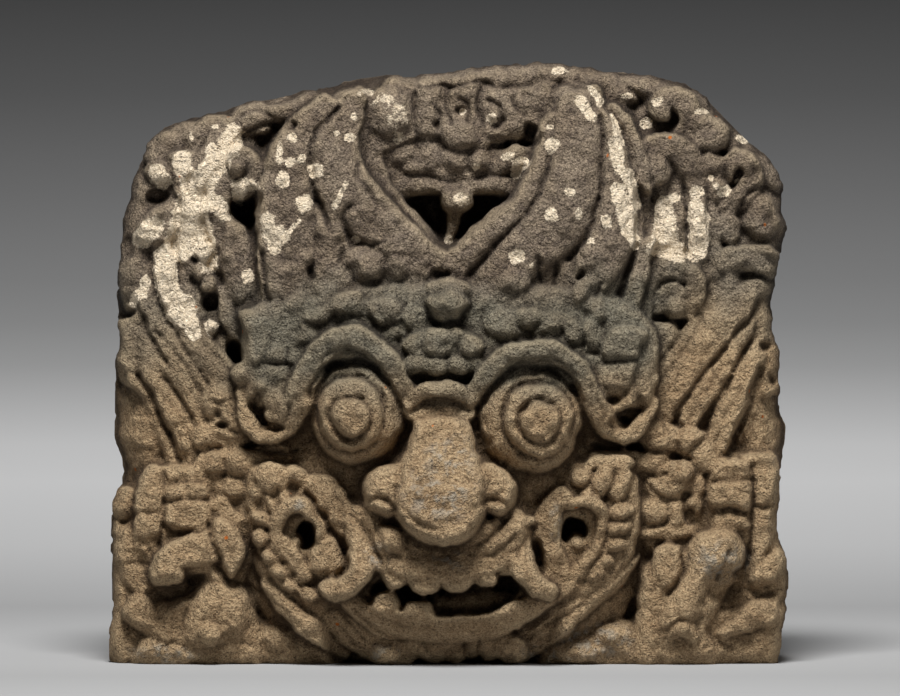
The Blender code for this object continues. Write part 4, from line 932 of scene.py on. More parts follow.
# %% Mouth
def mouth():
    """The open mouth: muzzle, lips, two rows of teeth, the dark inside and the chin."""
    slab([(366, 506), (384, 518), (404, 532), (440, 546), (476, 532), (496, 518), (516, 506), (530, 522),
        (524, 546), (508, 562), (476, 574), (440, 577), (402, 575), (378, 564), (362, 545), (358, 522)], 150,
         16, 36)
    sink([(366, 588), (376, 576), (400, 580), (440, 582), (480, 580), (506, 570), (520, 582), (514, 598),
        (490, 612), (440, 616), (398, 611), (376, 602)], 66, 6)
    lump(474, 602, 46, 13, 86, 18)
    ridge([(374, 561, 148, 8), (402, 567, 156, 9), (438, 570, 158, 9), (474, 567, 156, 9),
        (506, 556, 148, 9)], 0.6)
    lump(386, 540, 16, 17, 166, 18)
    ridge([(474, 552, 150, 5), (488, 545, 158, 7), (502, 534, 158, 7), (514, 524, 150, 6),
        (530, 520, 140, 5)], 0.7)
    ridge([(466, 540, 152, 5), (480, 532, 158, 7), (494, 524, 154, 6)], 0.7)
    ridge([(458, 560, 150, 5), (476, 560, 154, 6), (496, 552, 152, 6), (508, 544, 146, 5)], 0.7)
    groove([(470, 546, 2), (484, 539, 2.6), (498, 528, 2.6), (510, 518, 2)], 10)
    groove([(462, 553, 2), (482, 555, 2.6), (500, 545, 2.6), (514, 534, 2)], 9)
    ridge([(344, 508, 122, 6), (358, 514, 132, 7), (368, 532, 140, 7), (375, 549, 144, 6),
        (382, 562, 146, 5)], 0.6)
    groove([(348, 512, 2.2), (360, 526, 3), (370, 545, 3), (379, 562, 2.4)], 12)
    groove([(372, 522, 2), (376, 536, 2.6), (382, 552, 2.6), (396, 556, 2)], 9)
    groove([(402, 548, 2.4), (430, 556, 3), (462, 550, 2.4)], 6)
    for tooth, top in (([(378, 566), (404, 566), (404, 580), (397, 588), (387, 588), (379, 578)], 148),
                       ([(406, 568), (438, 568), (438, 584), (430, 593), (414, 592), (406, 582)], 152),
                       ([(441, 568), (473, 568), (472, 582), (464, 590), (450, 591), (441, 584)], 152)):
        slab(tooth, top, 4, 14)
    lump(484, 577, 11, 10, 150, 9)
    lump(504, 566, 9, 10, 140, 8)
    slab([(372, 593), (384, 589), (396, 593), (397, 614), (371, 612)], 132, 4, 18)
    slab([(404, 602), (418, 600), (430, 603), (432, 622), (402, 620)], 134, 4, 18)
    ridge([(346, 600, 118, 9), (366, 613, 128, 12), (390, 623, 134, 14), (440, 630, 138, 15),
        (480, 628, 136, 15), (516, 613, 130, 13), (548, 596, 120, 10), (572, 584, 108, 6)], 0.55)
    groove([(350, 607, 2.4), (372, 625, 3.4), (398, 638, 3.6), (440, 646, 3.6), (480, 644, 3.4),
        (522, 628, 3.4), (566, 602, 2.4)], 13)
    groove([(362, 603, 1.8), (384, 618, 2.4), (412, 627, 2.2), (450, 630, 1.8)], 5)
    ridge([(330, 618, 108, 9), (350, 634, 116, 14), (374, 648, 122, 14), (402, 656, 124, 12)], 0.5)
    for path in (((334, 622), (344, 634), (353, 646)), ((342, 616), (354, 630), (364, 640)),
        ((328, 632), (342, 648), (356, 656))):
        groove([(u, v, 2.4) for u, v in path], 8)
    lump(384, 656, 17, 13, 138, 14)
    groove(arc(384, 656, 10, 7, 0, 350, 1.8), 5)
    for u, v, ru, rv, top in ((412, 648, 12, 12, 125), (432, 653, 14, 12, 131), (452, 656, 12, 9, 128),
        (446, 643, 17, 10, 130), (470, 646, 10, 13, 126), (488, 648, 10, 14, 127), (509, 650, 19, 14, 133)):
        lump(u, v, ru, rv, top, 10)
    groove(arc(509, 650, 11, 8, 0, 340, 2.2), 8)
    for path in (((422, 640), (424, 650), (420, 662)), ((462, 640), (464, 650), (460, 660)),
        ((480, 640), (478, 652), (482, 664))):
        groove([(u, v, 2.4) for u, v in path], 6)
    ridge([(590, 594, 100, 8), (566, 616, 106, 12), (542, 636, 110, 13), (516, 656, 108, 10)], 0.5)
    lump(541, 631, 8, 7, 118, 7)
    groove([(592, 590, 2.4), (570, 612, 3), (546, 625, 3), (526, 640, 2.4)], 8)
    groove([(604, 600, 1.8), (580, 622, 2.4), (552, 642, 2)], 6)


mouth()
print("mouth: highest point now", round(float(H.max()), 1))

# %% [markdown]
# Under the lip the chin leans back towards the bed, so it turns away from the light. Leaning a part of a
# face back is often all that it takes to put it in shade.

# %% Chin lean
def chin_lean():
    """Below the lip the face leans back towards the bed, so it lies in its own shade."""
    at, d = inside([(318, 596), (360, 606), (440, 614), (520, 606), (568, 592), (560, 640), (540, 690),
        (340, 690), (320, 640)])
    H[at] -= np.clip(d / 10, 0, 1) * 0.75 * np.clip(V[at] - 604, 0, None)


chin_lean()
print("chin lean: highest point now", round(float(H.max()), 1))

# %% [markdown]
# ## Tusks
# A tusk hooks out from each corner of the mouth. It is a fat ridge whose width swells in the middle.

# %% Tusks
def tusks():
    """Two thick tusks at the mouth's corners. The right one has lost its tip."""
    ridge([(347, 521, 130, 8), (354, 537, 142, 11), (358, 553, 150, 13), (357, 569, 154, 13),
        (348, 583, 154, 12), (335, 590, 150, 11), (327, 588, 145, 10)], 0.75)
    groove([(344, 530, 2), (345, 546, 2.6), (345, 562, 2.6)], 6)
    groove([(354, 560, 1.8), (362, 562, 2.2), (368, 556, 1.8)], 4)
    ridge([(521, 529, 130, 10), (516, 547, 143, 14), (520, 566, 152, 15), (532, 582, 153, 13),
        (547, 591, 149, 10)], 0.75)
    for path in (((508, 538), (515, 547), (516, 557)), ((525, 536), (519, 546), (516, 557)),
        ((510, 536), (518, 533), (526, 534))):
        groove([(u, v, 1.8) for u, v in path], 6)
    lump(550, 591, 9, 10, 149, 9)
    sink([(532, 538), (541, 542), (544, 560), (547, 578), (538, 574), (531, 556)], 38, 5)


tusks()
print("tusks: highest point now", round(float(H.max()), 1))

# %% [markdown]
# ## Nose
# The nose stands furthest out. Leaning slabs make its bridge, its tip and the wings, and grooves are cut
# round the nostrils.

# %% Nose
def nose():
    """A short broad nose with flared wings, which stands out furthest of all."""
    slab([(402, 463), (386, 464), (370, 471), (361, 484), (360, 499), (366, 511), (379, 517), (392, 515),
        (402, 506), (410, 490)], 171, 11, 44, (0.25, 0.08), (388, 490))
    slab([(478, 461), (494, 463), (507, 471), (515, 485), (516, 499), (509, 511), (498, 517), (486, 513),
        (478, 503), (472, 488)], 171, 11, 44, (-0.25, 0.08), (490, 490))
    slab([(398, 484), (440, 474), (484, 484), (486, 502), (483, 518), (475, 532), (461, 541), (443, 544),
        (423, 542), (407, 534), (397, 522), (390, 508)], 193, 11, 54, (0.0, 0.05), (440, 520))
    slab([(411, 418), (424, 414), (440, 413), (455, 414), (467, 418), (472, 432), (478, 448), (484, 464),
        (487, 482), (484, 499), (475, 511), (460, 519), (443, 523), (425, 521), (411, 514), (401, 502),
        (396, 484), (397, 464), (403, 446), (408, 431)], 180, 10, 54, (0.0, 0.36), (440, 470))
    groove([(366, 502, 2.5), (375, 497, 4), (384, 499, 4.5), (391, 507, 4)], 13)
    groove([(481, 506, 4), (488, 500, 4.5), (498, 501, 4.5), (509, 504, 2.5)], 13)
    groove([(397, 494, 3), (403, 507, 4), (413, 518, 4.5), (426, 525, 4), (440, 526, 2.5)], 5)
    groove([(486, 490, 3), (480, 502, 4), (471, 512, 4), (458, 520, 3.5), (446, 524, 2.5)], 4)
    groove([(398, 466, 2.5), (394, 478, 3.5), (396, 492, 2.5)], 6)
    groove([(484, 466, 2.5), (489, 478, 3.5), (487, 490, 2.5)], 6)
    groove([(492, 470, 1.8), (502, 478, 2.2), (503, 489, 2.2), (494, 497, 1.8)], 5)


nose()
print("nose: highest point now", round(float(H.max()), 1))

# %% [markdown]
# ## Eyes
# The eyes are turned forms: low domes with steps, like a stack of saucers. A profile from the middle out
# gives them, as on a lathe.

# %% Eyes
def eyes():
    """Two bulging eyes, each a dome with incised rings set a little off its middle."""
    dome = [(0.0, 158), (0.4, 155), (0.65, 149), (0.82, 141), (0.93, 130), (1.0, 110)]
    turned(355, 411, 48, 53, dome)
    turned(528, 418, 52.5, 54, dome)
    for u, v, ru, rv, inner_u, inner_v, inner in ((348, 413, 35, 38, 348, 416, 20),
        (536, 418, 36, 38, 538, 419, 21)):
        pit(u, v, ru, rv, -7, 0, 6)
        groove(arc(u, v, ru + 1, rv + 1, -20, 320, 4.8), 15)
        pit(inner_u, inner_v, inner, inner, -7, 0, 5)
        groove(arc(inner_u, inner_v, inner + 1, inner + 1, 20, 370, 4.4), 14)
    groove([(332, 428, 2.5), (340, 438, 3.5), (352, 440, 3.5), (363, 433, 2.5)], 7)
    groove([(333, 408, 2), (344, 402, 2.4), (356, 404, 2)], 4)
    strand([(522, 452, 2), (544, 455, 3.5), (564, 446, 2)], 5)
    groove([(522, 408, 2), (536, 403, 2.6), (550, 408, 2)], 5)
    groove([(523, 430, 2.5), (538, 436, 3), (552, 428, 2.5)], 6)


eyes()
print("eyes: highest point now", round(float(H.max()), 1))

# %% [markdown]
# ## Brow band
# One band starts between the eyes, arches over each and ends in a volute. Its crest is highest over the eyes
# and falls towards both ends, and the stone under it is left in shadow.

# %% Brows
def brows():
    """A band over each eye. Each ends in a volute at the temple and they meet in a dip over the nose."""
    left = [(409, 402, 138, 7), (403, 389, 144, 9), (395, 373, 150, 10), (385, 358, 154, 11),
        (372, 345, 156, 11), (358, 336, 157, 11), (342, 334, 156, 11), (328, 340, 154, 11),
        (315, 351, 150, 11), (305, 366, 145, 12), (299, 382, 140, 13), (295, 400, 134, 13),
        (288, 416, 126, 12), (276, 430, 118, 10), (262, 435, 112, 9), (250, 427, 108, 9), (243, 410, 104, 8),
         (240, 390, 100, 7)]
    right = [(467, 401, 138, 7), (473, 391, 142, 8), (481, 378, 148, 10), (490, 367, 152, 11),
        (501, 357, 155, 10), (515, 350, 156, 9), (530, 347, 157, 9), (546, 347, 156, 9), (560, 353, 154, 9),
        (573, 363, 150, 9), (583, 378, 145, 10), (590, 396, 138, 10), (598, 413, 130, 11),
        (608, 427, 122, 10), (620, 435, 116, 9), (633, 430, 110, 8), (643, 416, 106, 7), (649, 400, 100, 7)]
    for path in (left, right):
        ridge([(u, v, top, w * 1.12) for u, v, top, w in path], 0.34)
    ridge([(312, 374, 132, 5), (320, 361, 138, 5), (333, 353, 140, 6), (348, 351, 140, 6),
        (362, 358, 138, 5), (376, 372, 132, 4)], 0.6)
    ridge([(497, 382, 132, 4), (508, 370, 138, 5), (522, 362, 140, 5), (540, 359, 140, 5),
        (556, 364, 138, 5), (569, 377, 132, 4)], 0.6)
    groove([(319, 356, 2), (330, 348, 2.4), (346, 345, 2.6), (360, 350, 2.6), (374, 362, 2.4),
        (388, 382, 2)], 9)
    groove([(488, 388, 2), (500, 372, 2.4), (516, 359, 2.6), (538, 355, 2.6), (558, 359, 2.6),
        (574, 374, 2)], 9)
    groove([(306, 396, 3), (309, 378, 3.4), (320, 365, 3.4), (336, 358, 3.4), (352, 357, 3.6),
        (370, 366, 3.6), (386, 384, 3.6), (400, 404, 3)], 16)
    groove([(478, 404, 3), (488, 390, 3.4), (500, 376, 3.6), (516, 366, 3.6), (538, 363, 3.4),
        (558, 368, 3.4), (574, 382, 3.4), (582, 400, 3)], 16)
    ridge([(409, 401, 144, 6), (418, 392, 150, 8), (430, 388, 153, 8), (446, 388, 153, 8),
        (458, 391, 150, 8), (467, 399, 144, 6)], 0.5)
    slab([(408, 400), (438, 396), (470, 400), (472, 417), (440, 415), (406, 417)], 140, 3, 6)
    groove([(411, 410, 3), (420, 404, 4.5), (432, 401, 5), (446, 401, 5), (458, 404, 4.5), (467, 409, 3)],
        9)
    groove([(408, 374, 2.5), (420, 379, 3.4), (440, 381, 3.4), (460, 379, 3.4), (472, 372, 2.5)], 6)
    ridge([(259, 383, 118, 8), (268, 392, 122, 10), (275, 402, 122, 11), (273, 411, 118, 10)], 0.5)
    lump(259, 382, 10, 8, 124, 7)
    pit(270, 425, 13, 6, 13)
    pit(255, 396, 4, 9, 9)
    pit(251, 404, 4, 10, 8)
    groove([(262, 392, 1.6), (268, 403, 2.2), (262, 410, 1.6)], 7)
    groove([(284, 394, 2), (288, 408, 2.4), (282, 420, 2)], 9)
    ridge([(602, 413, 116, 5), (614, 405, 120, 6), (626, 400, 121, 6), (631, 388, 118, 6)], 0.6)
    ridge([(597, 393, 120, 6), (607, 388, 121, 6), (617, 388, 118, 5)], 0.6)
    pit(610, 399, 9, 4, 10)
    pit(638, 402, 5, 11, 8)
    pit(617, 423, 12, 8, 13)
    groove([(588, 384, 2), (594, 398, 2), (602, 416, 2)], 6)
    ridge([(224, 456, 80, 10), (250, 458, 84, 10), (282, 452, 88, 8)])
    groove([(244, 448, 3), (270, 452, 5), (296, 448, 3)], 18)
    groove([(592, 442, 3), (614, 452, 5), (640, 444, 3)], 18)
    ridge([(596, 456, 96, 8), (614, 462, 94, 10), (636, 458, 84, 8)])


brows()
print("brows: highest point now", round(float(H.max()), 1))

# %% [markdown]
# ## Left hand
# A raised hand with curled fingers stands on each side, worn to soft lobes.

# %% Left hand
def left_hand():
    """The raised hand at the lower left, its wrist and the bed under it."""
    slab([(112, 520), (124, 522), (136, 480), (160, 464), (200, 466), (208, 500), (242, 518), (246, 580),
        (264, 620), (334, 652), (334, 690), (108, 690), (108, 600)], 60, 10, 16)
    slab([(140, 470), (160, 464), (204, 466), (208, 500), (208, 532), (180, 536), (140, 548), (132, 520)],
        79, 8, 18)
    slab([(196, 500), (212, 486), (236, 488), (252, 502), (254, 540), (244, 580), (222, 576), (204, 540)],
        76, 10, 20)
    slab([(150, 604), (180, 596), (214, 580), (246, 588), (258, 620), (262, 660), (262, 690), (132, 690),
        (136, 640)], 80, 16, 22)
    ridge([(153, 474, 80, 11), (147, 492, 86, 13), (146, 507, 84, 13)], 0.45)
    ridge([(146, 517, 84, 13), (144, 530, 84, 14), (144, 543, 78, 12)], 0.45)
    slab([(166, 469), (196, 467), (202, 480), (164, 482)], 82, 5, 12)
    slab([(160, 485), (200, 482), (204, 499), (160, 501)], 90, 7, 16)
    slab([(160, 502), (204, 500), (204, 527), (182, 531), (160, 525)], 92, 8, 16)
    lump(121, 502, 13, 19, 62, 11)
    slab([(115, 534), (126, 525), (138, 535), (152, 550), (154, 566), (146, 591), (130, 592), (113, 566)],
        72, 9, 18)
    slab([(156, 548), (166, 534), (190, 529), (206, 532), (214, 560), (228, 578), (246, 590), (250, 622),
        (238, 642), (200, 650), (178, 638), (184, 606), (196, 588), (202, 574), (178, 574), (160, 568)], 97,
        24, 32)
    ridge([(208, 546, 100, 16), (187, 549, 108, 16), (169, 557, 114, 14), (161, 570, 114, 13)], 0.5)
    lump(163, 573, 18, 15, 116, 12)
    sink([(150, 592), (166, 593), (180, 586), (184, 575), (200, 574), (196, 587), (184, 600), (166, 606),
        (154, 602)], 17, 9)
    slab([(206, 528), (214, 515), (230, 523), (241, 540), (241, 560), (232, 579), (222, 571), (211, 553)],
        102, 7, 18)
    slab([(119, 606), (130, 592), (146, 595), (153, 612), (172, 618), (194, 632), (190, 646), (160, 642),
        (136, 630), (122, 620)], 80, 9, 18)
    slab([(234, 650), (250, 628), (276, 618), (300, 638), (330, 654), (330, 690), (234, 690)], 74, 12, 20)
    ridge([(216, 505, 84, 9), (228, 514, 88, 9), (242, 528, 84, 8)], 0.5)
    lump(208, 633, 13, 12, 104, 9)
    lump(171, 651, 13, 9, 82, 8)
    lump(272, 640, 18, 14, 82, 9)
    for path, w, depth in (([(160, 468), (160, 500), (158, 546)], 3, 13),
        ([(134, 512), (146, 511), (158, 513)], 2.4, 8), ([(162, 501), (182, 500), (204, 500)], 2, 6),
        ([(162, 524), (172, 531), (188, 530)], 3, 12), ([(165, 483), (182, 482), (200, 481)], 2, 7),
        ([(111, 516), (122, 520), (134, 514)], 3, 11), ([(112, 500), (122, 503), (132, 499)], 1.8, 4),
        ([(117, 563), (130, 562), (148, 565)], 2, 6), ([(138, 538), (146, 546), (150, 554)], 2.2, 7),
        ([(140, 578), (148, 570), (154, 560)], 2.2, 7), ([(204, 524), (208, 542), (216, 560), (229, 581)],
        3.2, 13), ([(217, 528), (225, 544), (231, 564)], 1.8, 4),
        ([(134, 613), (146, 617), (158, 614)], 2.2, 6), ([(120, 622), (138, 634), (162, 646)], 2.4, 7),
        ([(186, 606), (182, 622), (190, 636)], 2.6, 5), ([(194, 630), (204, 619), (216, 624), (222, 636)],
        2.2, 6), ([(158, 650), (168, 642), (182, 646)], 2.2, 7),
        ([(206, 588), (220, 598), (236, 602)], 2, 4), ([(200, 604), (216, 610), (232, 622)], 2, 4),
        ([(246, 584), (252, 606), (268, 626)], 3, 9), ([(190, 576), (206, 580), (222, 582)], 2.2, 5),
        ([(238, 640), (250, 646), (262, 644)], 2, 5)):
        groove([(u, v, w) for u, v in path], depth)


left_hand()
print("left hand: highest point now", round(float(H.max()), 1))

# %% [markdown]
# ## Right hand
# The right hand is broken lower down: its base is a flat, paler break, which is kept as it is.

# %% Right hand
def right_hand():
    """The raised hand at the lower right, and the stump of the tail stone beside the chin."""
    slab([(642, 540), (700, 524), (710, 462), (738, 448), (772, 450), (782, 480), (778, 530), (790, 560),
        (788, 620), (780, 690), (640, 690), (640, 600)], 60, 10, 16)
    slab([(636, 470), (660, 462), (704, 470), (708, 520), (700, 560), (660, 560), (640, 540)], 68, 10, 18)
    slab([(708, 464), (750, 460), (778, 464), (780, 504), (774, 540), (754, 572), (742, 540), (708, 532)],
        75, 8, 18)
    slab([(640, 572), (664, 562), (690, 546), (716, 548), (734, 572), (722, 600), (712, 630), (722, 664),
        (722, 690), (640, 690)], 88, 16, 26)
    slab([(700, 612), (730, 606), (776, 594), (784, 640), (778, 690), (690, 690)], 72, 14, 20)
    slab([(713, 460), (726, 457), (746, 459), (751, 470), (750, 479), (711, 480)], 86, 6, 16)
    slab([(709, 482), (728, 479), (750, 481), (751, 507), (730, 508), (708, 508)], 92, 8, 18)
    slab([(713, 511), (730, 510), (747, 513), (746, 528), (712, 530)], 86, 6, 16)
    slab([(738, 452), (756, 449), (771, 453), (774, 464), (752, 468), (744, 462)], 76, 6, 14)
    slab([(753, 468), (766, 465), (779, 474), (780, 494), (776, 503), (752, 503)], 78, 8, 18)
    slab([(751, 506), (776, 504), (777, 520), (772, 533), (750, 533)], 76, 7, 18)
    slab([(749, 535), (771, 533), (768, 550), (756, 570), (748, 566)], 72, 6, 14)
    slab([(690, 540), (704, 530), (728, 526), (741, 538), (743, 560), (735, 572), (716, 578), (706, 596),
        (694, 622), (664, 634), (656, 612), (672, 584), (686, 560)], 106, 20, 30)
    slab([(652, 552), (664, 543), (678, 546), (682, 562), (676, 580), (666, 592), (656, 580)], 96, 7, 18)
    slab([(640, 596), (668, 592), (700, 600), (706, 620), (700, 650), (690, 690), (640, 690)], 86, 14, 28)
    sink([(706, 588), (726, 580), (742, 586), (738, 598), (718, 604), (706, 599)], 13, 9)
    slab([(746, 574), (760, 558), (778, 546), (786, 556), (782, 574), (768, 586), (752, 588)], 78, 9, 22)
    slab([(714, 632), (728, 618), (744, 604), (762, 598), (774, 606), (776, 622), (758, 630), (738, 638),
        (722, 642)], 84, 10, 22)
    lump(776, 606, 12, 44, 46, 12)
    lump(740, 656, 52, 24, 62, 14)
    ridge([(666, 642, 92, 6), (673, 631, 100, 8), (684, 627, 104, 8), (692, 636, 98, 7)], 0.5)
    lump(718, 655, 15, 9, 76, 8)
    lump(766, 636, 10, 14, 66, 8)
    slab([(538, 690), (540, 654), (560, 640), (590, 626), (616, 616), (636, 624), (650, 650), (650, 690)],
        78, 14, 26)
    lump(580, 654, 28, 13, 88, 12)
    lump(612, 634, 20, 13, 86, 10)
    for path, w, depth in (([(711, 480), (728, 481), (750, 480)], 2, 6),
        ([(712, 508), (728, 507), (746, 511)], 2.6, 10), ([(751, 466), (752, 500), (749, 532), (744, 566)],
        3.2, 14), ([(752, 504), (764, 504), (779, 504)], 2.4, 10),
        ([(750, 534), (762, 533), (774, 532)], 1.8, 5), ([(760, 516), (768, 520), (774, 517)], 1.6, 4),
        ([(722, 468), (732, 472), (744, 470)], 1.8, 4), ([(727, 550), (724, 562), (717, 578)], 3, 10),
        ([(680, 556), (680, 574), (668, 594)], 3, 12), ([(704, 560), (698, 572), (688, 582)], 2, 4),
        ([(746, 590), (762, 594), (778, 588)], 3, 10), ([(784, 572), (784, 590), (778, 606)], 2.6, 7),
        ([(728, 640), (744, 634), (762, 628)], 2.2, 6), ([(754, 624), (764, 618), (772, 610)], 1.8, 4),
        ([(664, 640), (672, 624), (686, 620), (696, 634)], 2.4, 7),
        ([(703, 650), (716, 644), (732, 650)], 2.4, 8), ([(652, 556), (650, 574), (656, 590)], 2.2, 7),
        ([(706, 606), (710, 618), (706, 632)], 2.4, 4), ([(560, 644), (580, 636), (600, 632)], 2, 5),
        ([(650, 612), (664, 618), (676, 614)], 2, 4)):
        groove([(u, v, w) for u, v in path], depth)


right_hand()
print("right hand: highest point now", round(float(H.max()), 1))

# %% [markdown]
# ## Wear fills the gaps
# On an old carving soil and wear fill the narrow gaps between forms. Each point is compared with the
# average round it. What lies far below is raised part of the way, except the hollows that were cut on
# purpose.

# %% Settle
def settle():
    """Narrow gaps are worn and filled, so only the cut hollows keep their depth. The rim is rounded."""
    stone_here = H > OPEN_GROUND / 2
    share = np.maximum(blur(stone_here * 1.0, SETTLE_REACH), 1e-6)
    around = blur(np.where(stone_here, H, 0.0), SETTLE_REACH) / share
    low = np.clip(around - SETTLE_FREE - H, 0, None)
    H[:] = np.where(stone_here, H + (1 - KEPT) * SETTLE_SHARE * low, H)
    past_bed = [(u, v + 40 if v > 640 else v) for u, v in OUTLINE]
    at, d = inside(past_bed)
    t = np.clip(1 - d / RIM_ROUND, 0, 1)
    face = H[at] - RIM_DROP * (1 - np.sqrt(1 - t * t))
    H[:] = OPEN_GROUND
    H[at] = np.where(d > -RIM_SLACK, face, OPEN_GROUND)


settle()
print("settle: highest point now", round(float(H.max()), 1))

# %% [markdown]
# ## Wear
# Rain and handling take the sharpness off, so the heights are blurred a little, and the front edge of the
# bed is rubbed round. Then the surface is made uneven at three sizes: hollows as wide as a finger, dents as
# wide as a pea, and grit.

# %% Wear the carving
WEAR = 0.8
BED_LINE = 668.0
BED_ROUND = 22.0
UNEVEN = ((30.0, 1.8, 21), (12.0, 1.7, 22), (6.5, 1.9, 23), (4.0, 1.1, 24))
CRUMBLED = ((16.0, 3.0, 25), (8.0, 2.4, 26))
CRUMBLE_LINE = 345.0

on_stone = H > OPEN_GROUND / 2
t = np.clip((V - BED_LINE + BED_ROUND) / BED_ROUND, 0, 1)
H = np.where(on_stone, H - BED_ROUND * (1 - np.sqrt(1 - 0.98 * t * t)), H)
softer = blur(np.where(on_stone, H, 0.0), WEAR) / np.maximum(blur(on_stone * 1.0, WEAR), 1e-6)
H = np.where(on_stone, softer, H)
H = np.where(on_stone, H + sum(reach * clouds(spots, size, seed) for size, reach, seed in UNEVEN), H)
crumbled = np.clip((CRUMBLE_LINE - V) / 60, 0, 1) * np.clip(0.6 + 0.8 * clouds(spots, 60.0, 27), 0, 1)
H = np.where(on_stone, H + crumbled * sum(reach * clouds(spots, size, seed) for size, reach, seed
    in CRUMBLED), H)
print("relief stands", round(float(H.max()), 1), "mm off the sheet")

# %% [markdown]
# ## From sheet to stone
# The camera sees what lies further back a little smaller, so each point is moved out by its depth. The
# whole face is then extruded back past the wall side, which makes a closed block with the carving on its
# front. A voxel remesh turns the stretched walls into even, small faces, which can be worn like the rest.

# %% Push the grid into relief and extrude it
STONE_WIDTH, STONE_HEIGHT, RELIEF_DEPTH, BLOCK_DEPTH = 0.694, 0.612, 0.200, 0.200
DRAWN_WIDTH, DRAWN_HEIGHT, DRAWN_RELIEF = 694.0, 612.0, 200.0
MIDDLE_LINE = 449.0
CHIN_RELIEF = 145.0
VIEW_DISTANCE_MM = 6000.0
VIEW_HEIGHT_MM = 320.0
BACK_PLANE = 0.190
VOXEL = 0.0023


def in_metres(u, v, h):
    """Where a point of the drawing lies on the stone. What lies further back is larger than it looks."""
    nearer = 1 + (CHIN_RELIEF - np.maximum(h, 0.0)) / VIEW_DISTANCE_MM
    x = (u - MIDDLE_LINE) * nearer * STONE_WIDTH / DRAWN_WIDTH
    z = (VIEW_HEIGHT_MM + (BED_LINE - v - VIEW_HEIGHT_MM) * nearer) * STONE_HEIGHT / DRAWN_HEIGHT
    y = -np.maximum(h, 0.0) * RELIEF_DEPTH - np.minimum(h, 0.0) * BLOCK_DEPTH
    return np.stack([x, y / DRAWN_RELIEF, z], -1)


def read(mesh):
    """The mesh's points as an array."""
    points = np.empty(len(mesh.vertices) * 3)
    mesh.vertices.foreach_get("co", points)
    return points.reshape(-1, 3)


def write(mesh, points):
    mesh.vertices.foreach_set("co", np.ascontiguousarray(points).ravel())
    mesh.update()


points = np.empty((columns * rows, 3))
points[order] = in_metres(U0, V0, H).reshape(-1, 3)
write(stone.data, points)
bpy.ops.object.mode_set(mode="EDIT")
bpy.ops.mesh.select_all(action="SELECT")
bpy.ops.mesh.extrude_region_move(TRANSFORM_OT_translate={"value": (0, 1, 0)})
bpy.ops.object.mode_set(mode="OBJECT")
points = read(stone.data)
chosen = np.array([v.select for v in stone.data.vertices])
points[chosen, 1] = BLOCK_DEPTH * 2.5
write(stone.data, points)
bpy.ops.object.mode_set(mode="EDIT")
bpy.ops.mesh.select_all(action="SELECT")
bpy.ops.mesh.normals_make_consistent(inside=False)
bpy.ops.object.mode_set(mode="OBJECT")
remesh = stone.modifiers.new("even_faces", "REMESH")
remesh.mode = "VOXEL"
remesh.voxel_size = VOXEL
bpy.ops.object.modifier_apply(modifier=remesh.name)
print("after the remesh:", len(stone.data.polygons), "faces")

# %% [markdown]
# ## Dress the sides
# A block for a wall has plain sides that draw in a little towards the back, so that the mason can fit it
# tight at the face. Each point is measured from the middle of the block against the drawn outline. What
# stands out further than the dressed side is pulled in, all of it at the back and none of it at the carved
# front.

# %% Pull the sides in to the dressed outline
BLOCK_MIDDLE = (449.0, 420.0)
DRESSING = ((-260.0, 0.93), (-190.0, 0.945), (-90.0, 0.985), (-20.0, 1.0), (40.0, 1.035), (260.0, 1.06))
LUMPS_FREE = 45.0
LUMPS_GONE = -35.0

rim = smooth(OUTLINE, gap=6.0, closed=True)[:, :2] - BLOCK_MIDDLE
bearing = np.arctan2(rim[:, 1], rim[:, 0])
turn_order = np.argsort(bearing)


def sheet_place(points):
    """The way back: the drawing's across, down and height of points on the stone."""
    h = -np.where(points[:, 1] < 0, points[:, 1] / RELIEF_DEPTH, points[:, 1] / BLOCK_DEPTH) * DRAWN_RELIEF
    nearer = 1 + (CHIN_RELIEF - np.maximum(h, 0.0)) / VIEW_DISTANCE_MM
    u = points[:, 0] * DRAWN_WIDTH / STONE_WIDTH / nearer + MIDDLE_LINE
    v = BED_LINE - VIEW_HEIGHT_MM - (points[:, 2] * DRAWN_HEIGHT / STONE_HEIGHT - VIEW_HEIGHT_MM) / nearer
    return u, v, h


points = read(stone.data)
u, v, h = sheet_place(points)
across, down = u - BLOCK_MIDDLE[0], v - BLOCK_MIDDLE[1]
reach = np.interp(np.arctan2(down, across), bearing[turn_order], np.hypot(*rim[turn_order].T), period=2
    * np.pi)
share = np.hypot(across, down) / reach
heights, shares = np.array(DRESSING).T
side = np.interp(h, heights, shares)
free = np.clip((h - LUMPS_GONE) / (LUMPS_FREE - LUMPS_GONE), 0, 1)
free = free * free * (3 - 2 * free)
drawn_in = np.where(share > side, side + (share - side) * free, share) / np.maximum(share, 1e-6)
points[:, 0] *= drawn_in
middle_z = (BED_LINE - BLOCK_MIDDLE[1]) / DRAWN_HEIGHT * STONE_HEIGHT
points[:, 2] = middle_z + (points[:, 2] - middle_z) * drawn_in
write(stone.data, points)
print("points pulled in:", int((drawn_in < 0.999).sum()))

# %% [markdown]
# ## Weather the whole block, then saw the bed and the back
# The sides are rough dressed: a point chisel leaves shallow dents. Smooth noise along each point's normal
# gives them, stronger on the sides and the back than on the carving, which has its own. The bed and the
# back are cut last, so they stay flat: the stone is kept only where it meets a big cube, which a boolean
# modifier does.

# %% Roughen the surface
DENTS = ((0.030, 0.0022, 31), (0.011, 0.0013, 32), (0.005, 0.0006, 33))
CARVED_SHARE = 0.35

normals = np.empty(len(stone.data.vertices) * 3)
stone.data.vertex_normals.foreach_get("vector", normals)
normals = normals.reshape(-1, 3)
dents = sum(depth * clouds(points, size, seed) for size, depth, seed in DENTS)
strength = np.interp(h, (-30.0, 20.0), (1.0, CARVED_SHARE))
write(stone.data, points + normals * (dents * strength)[:, None])

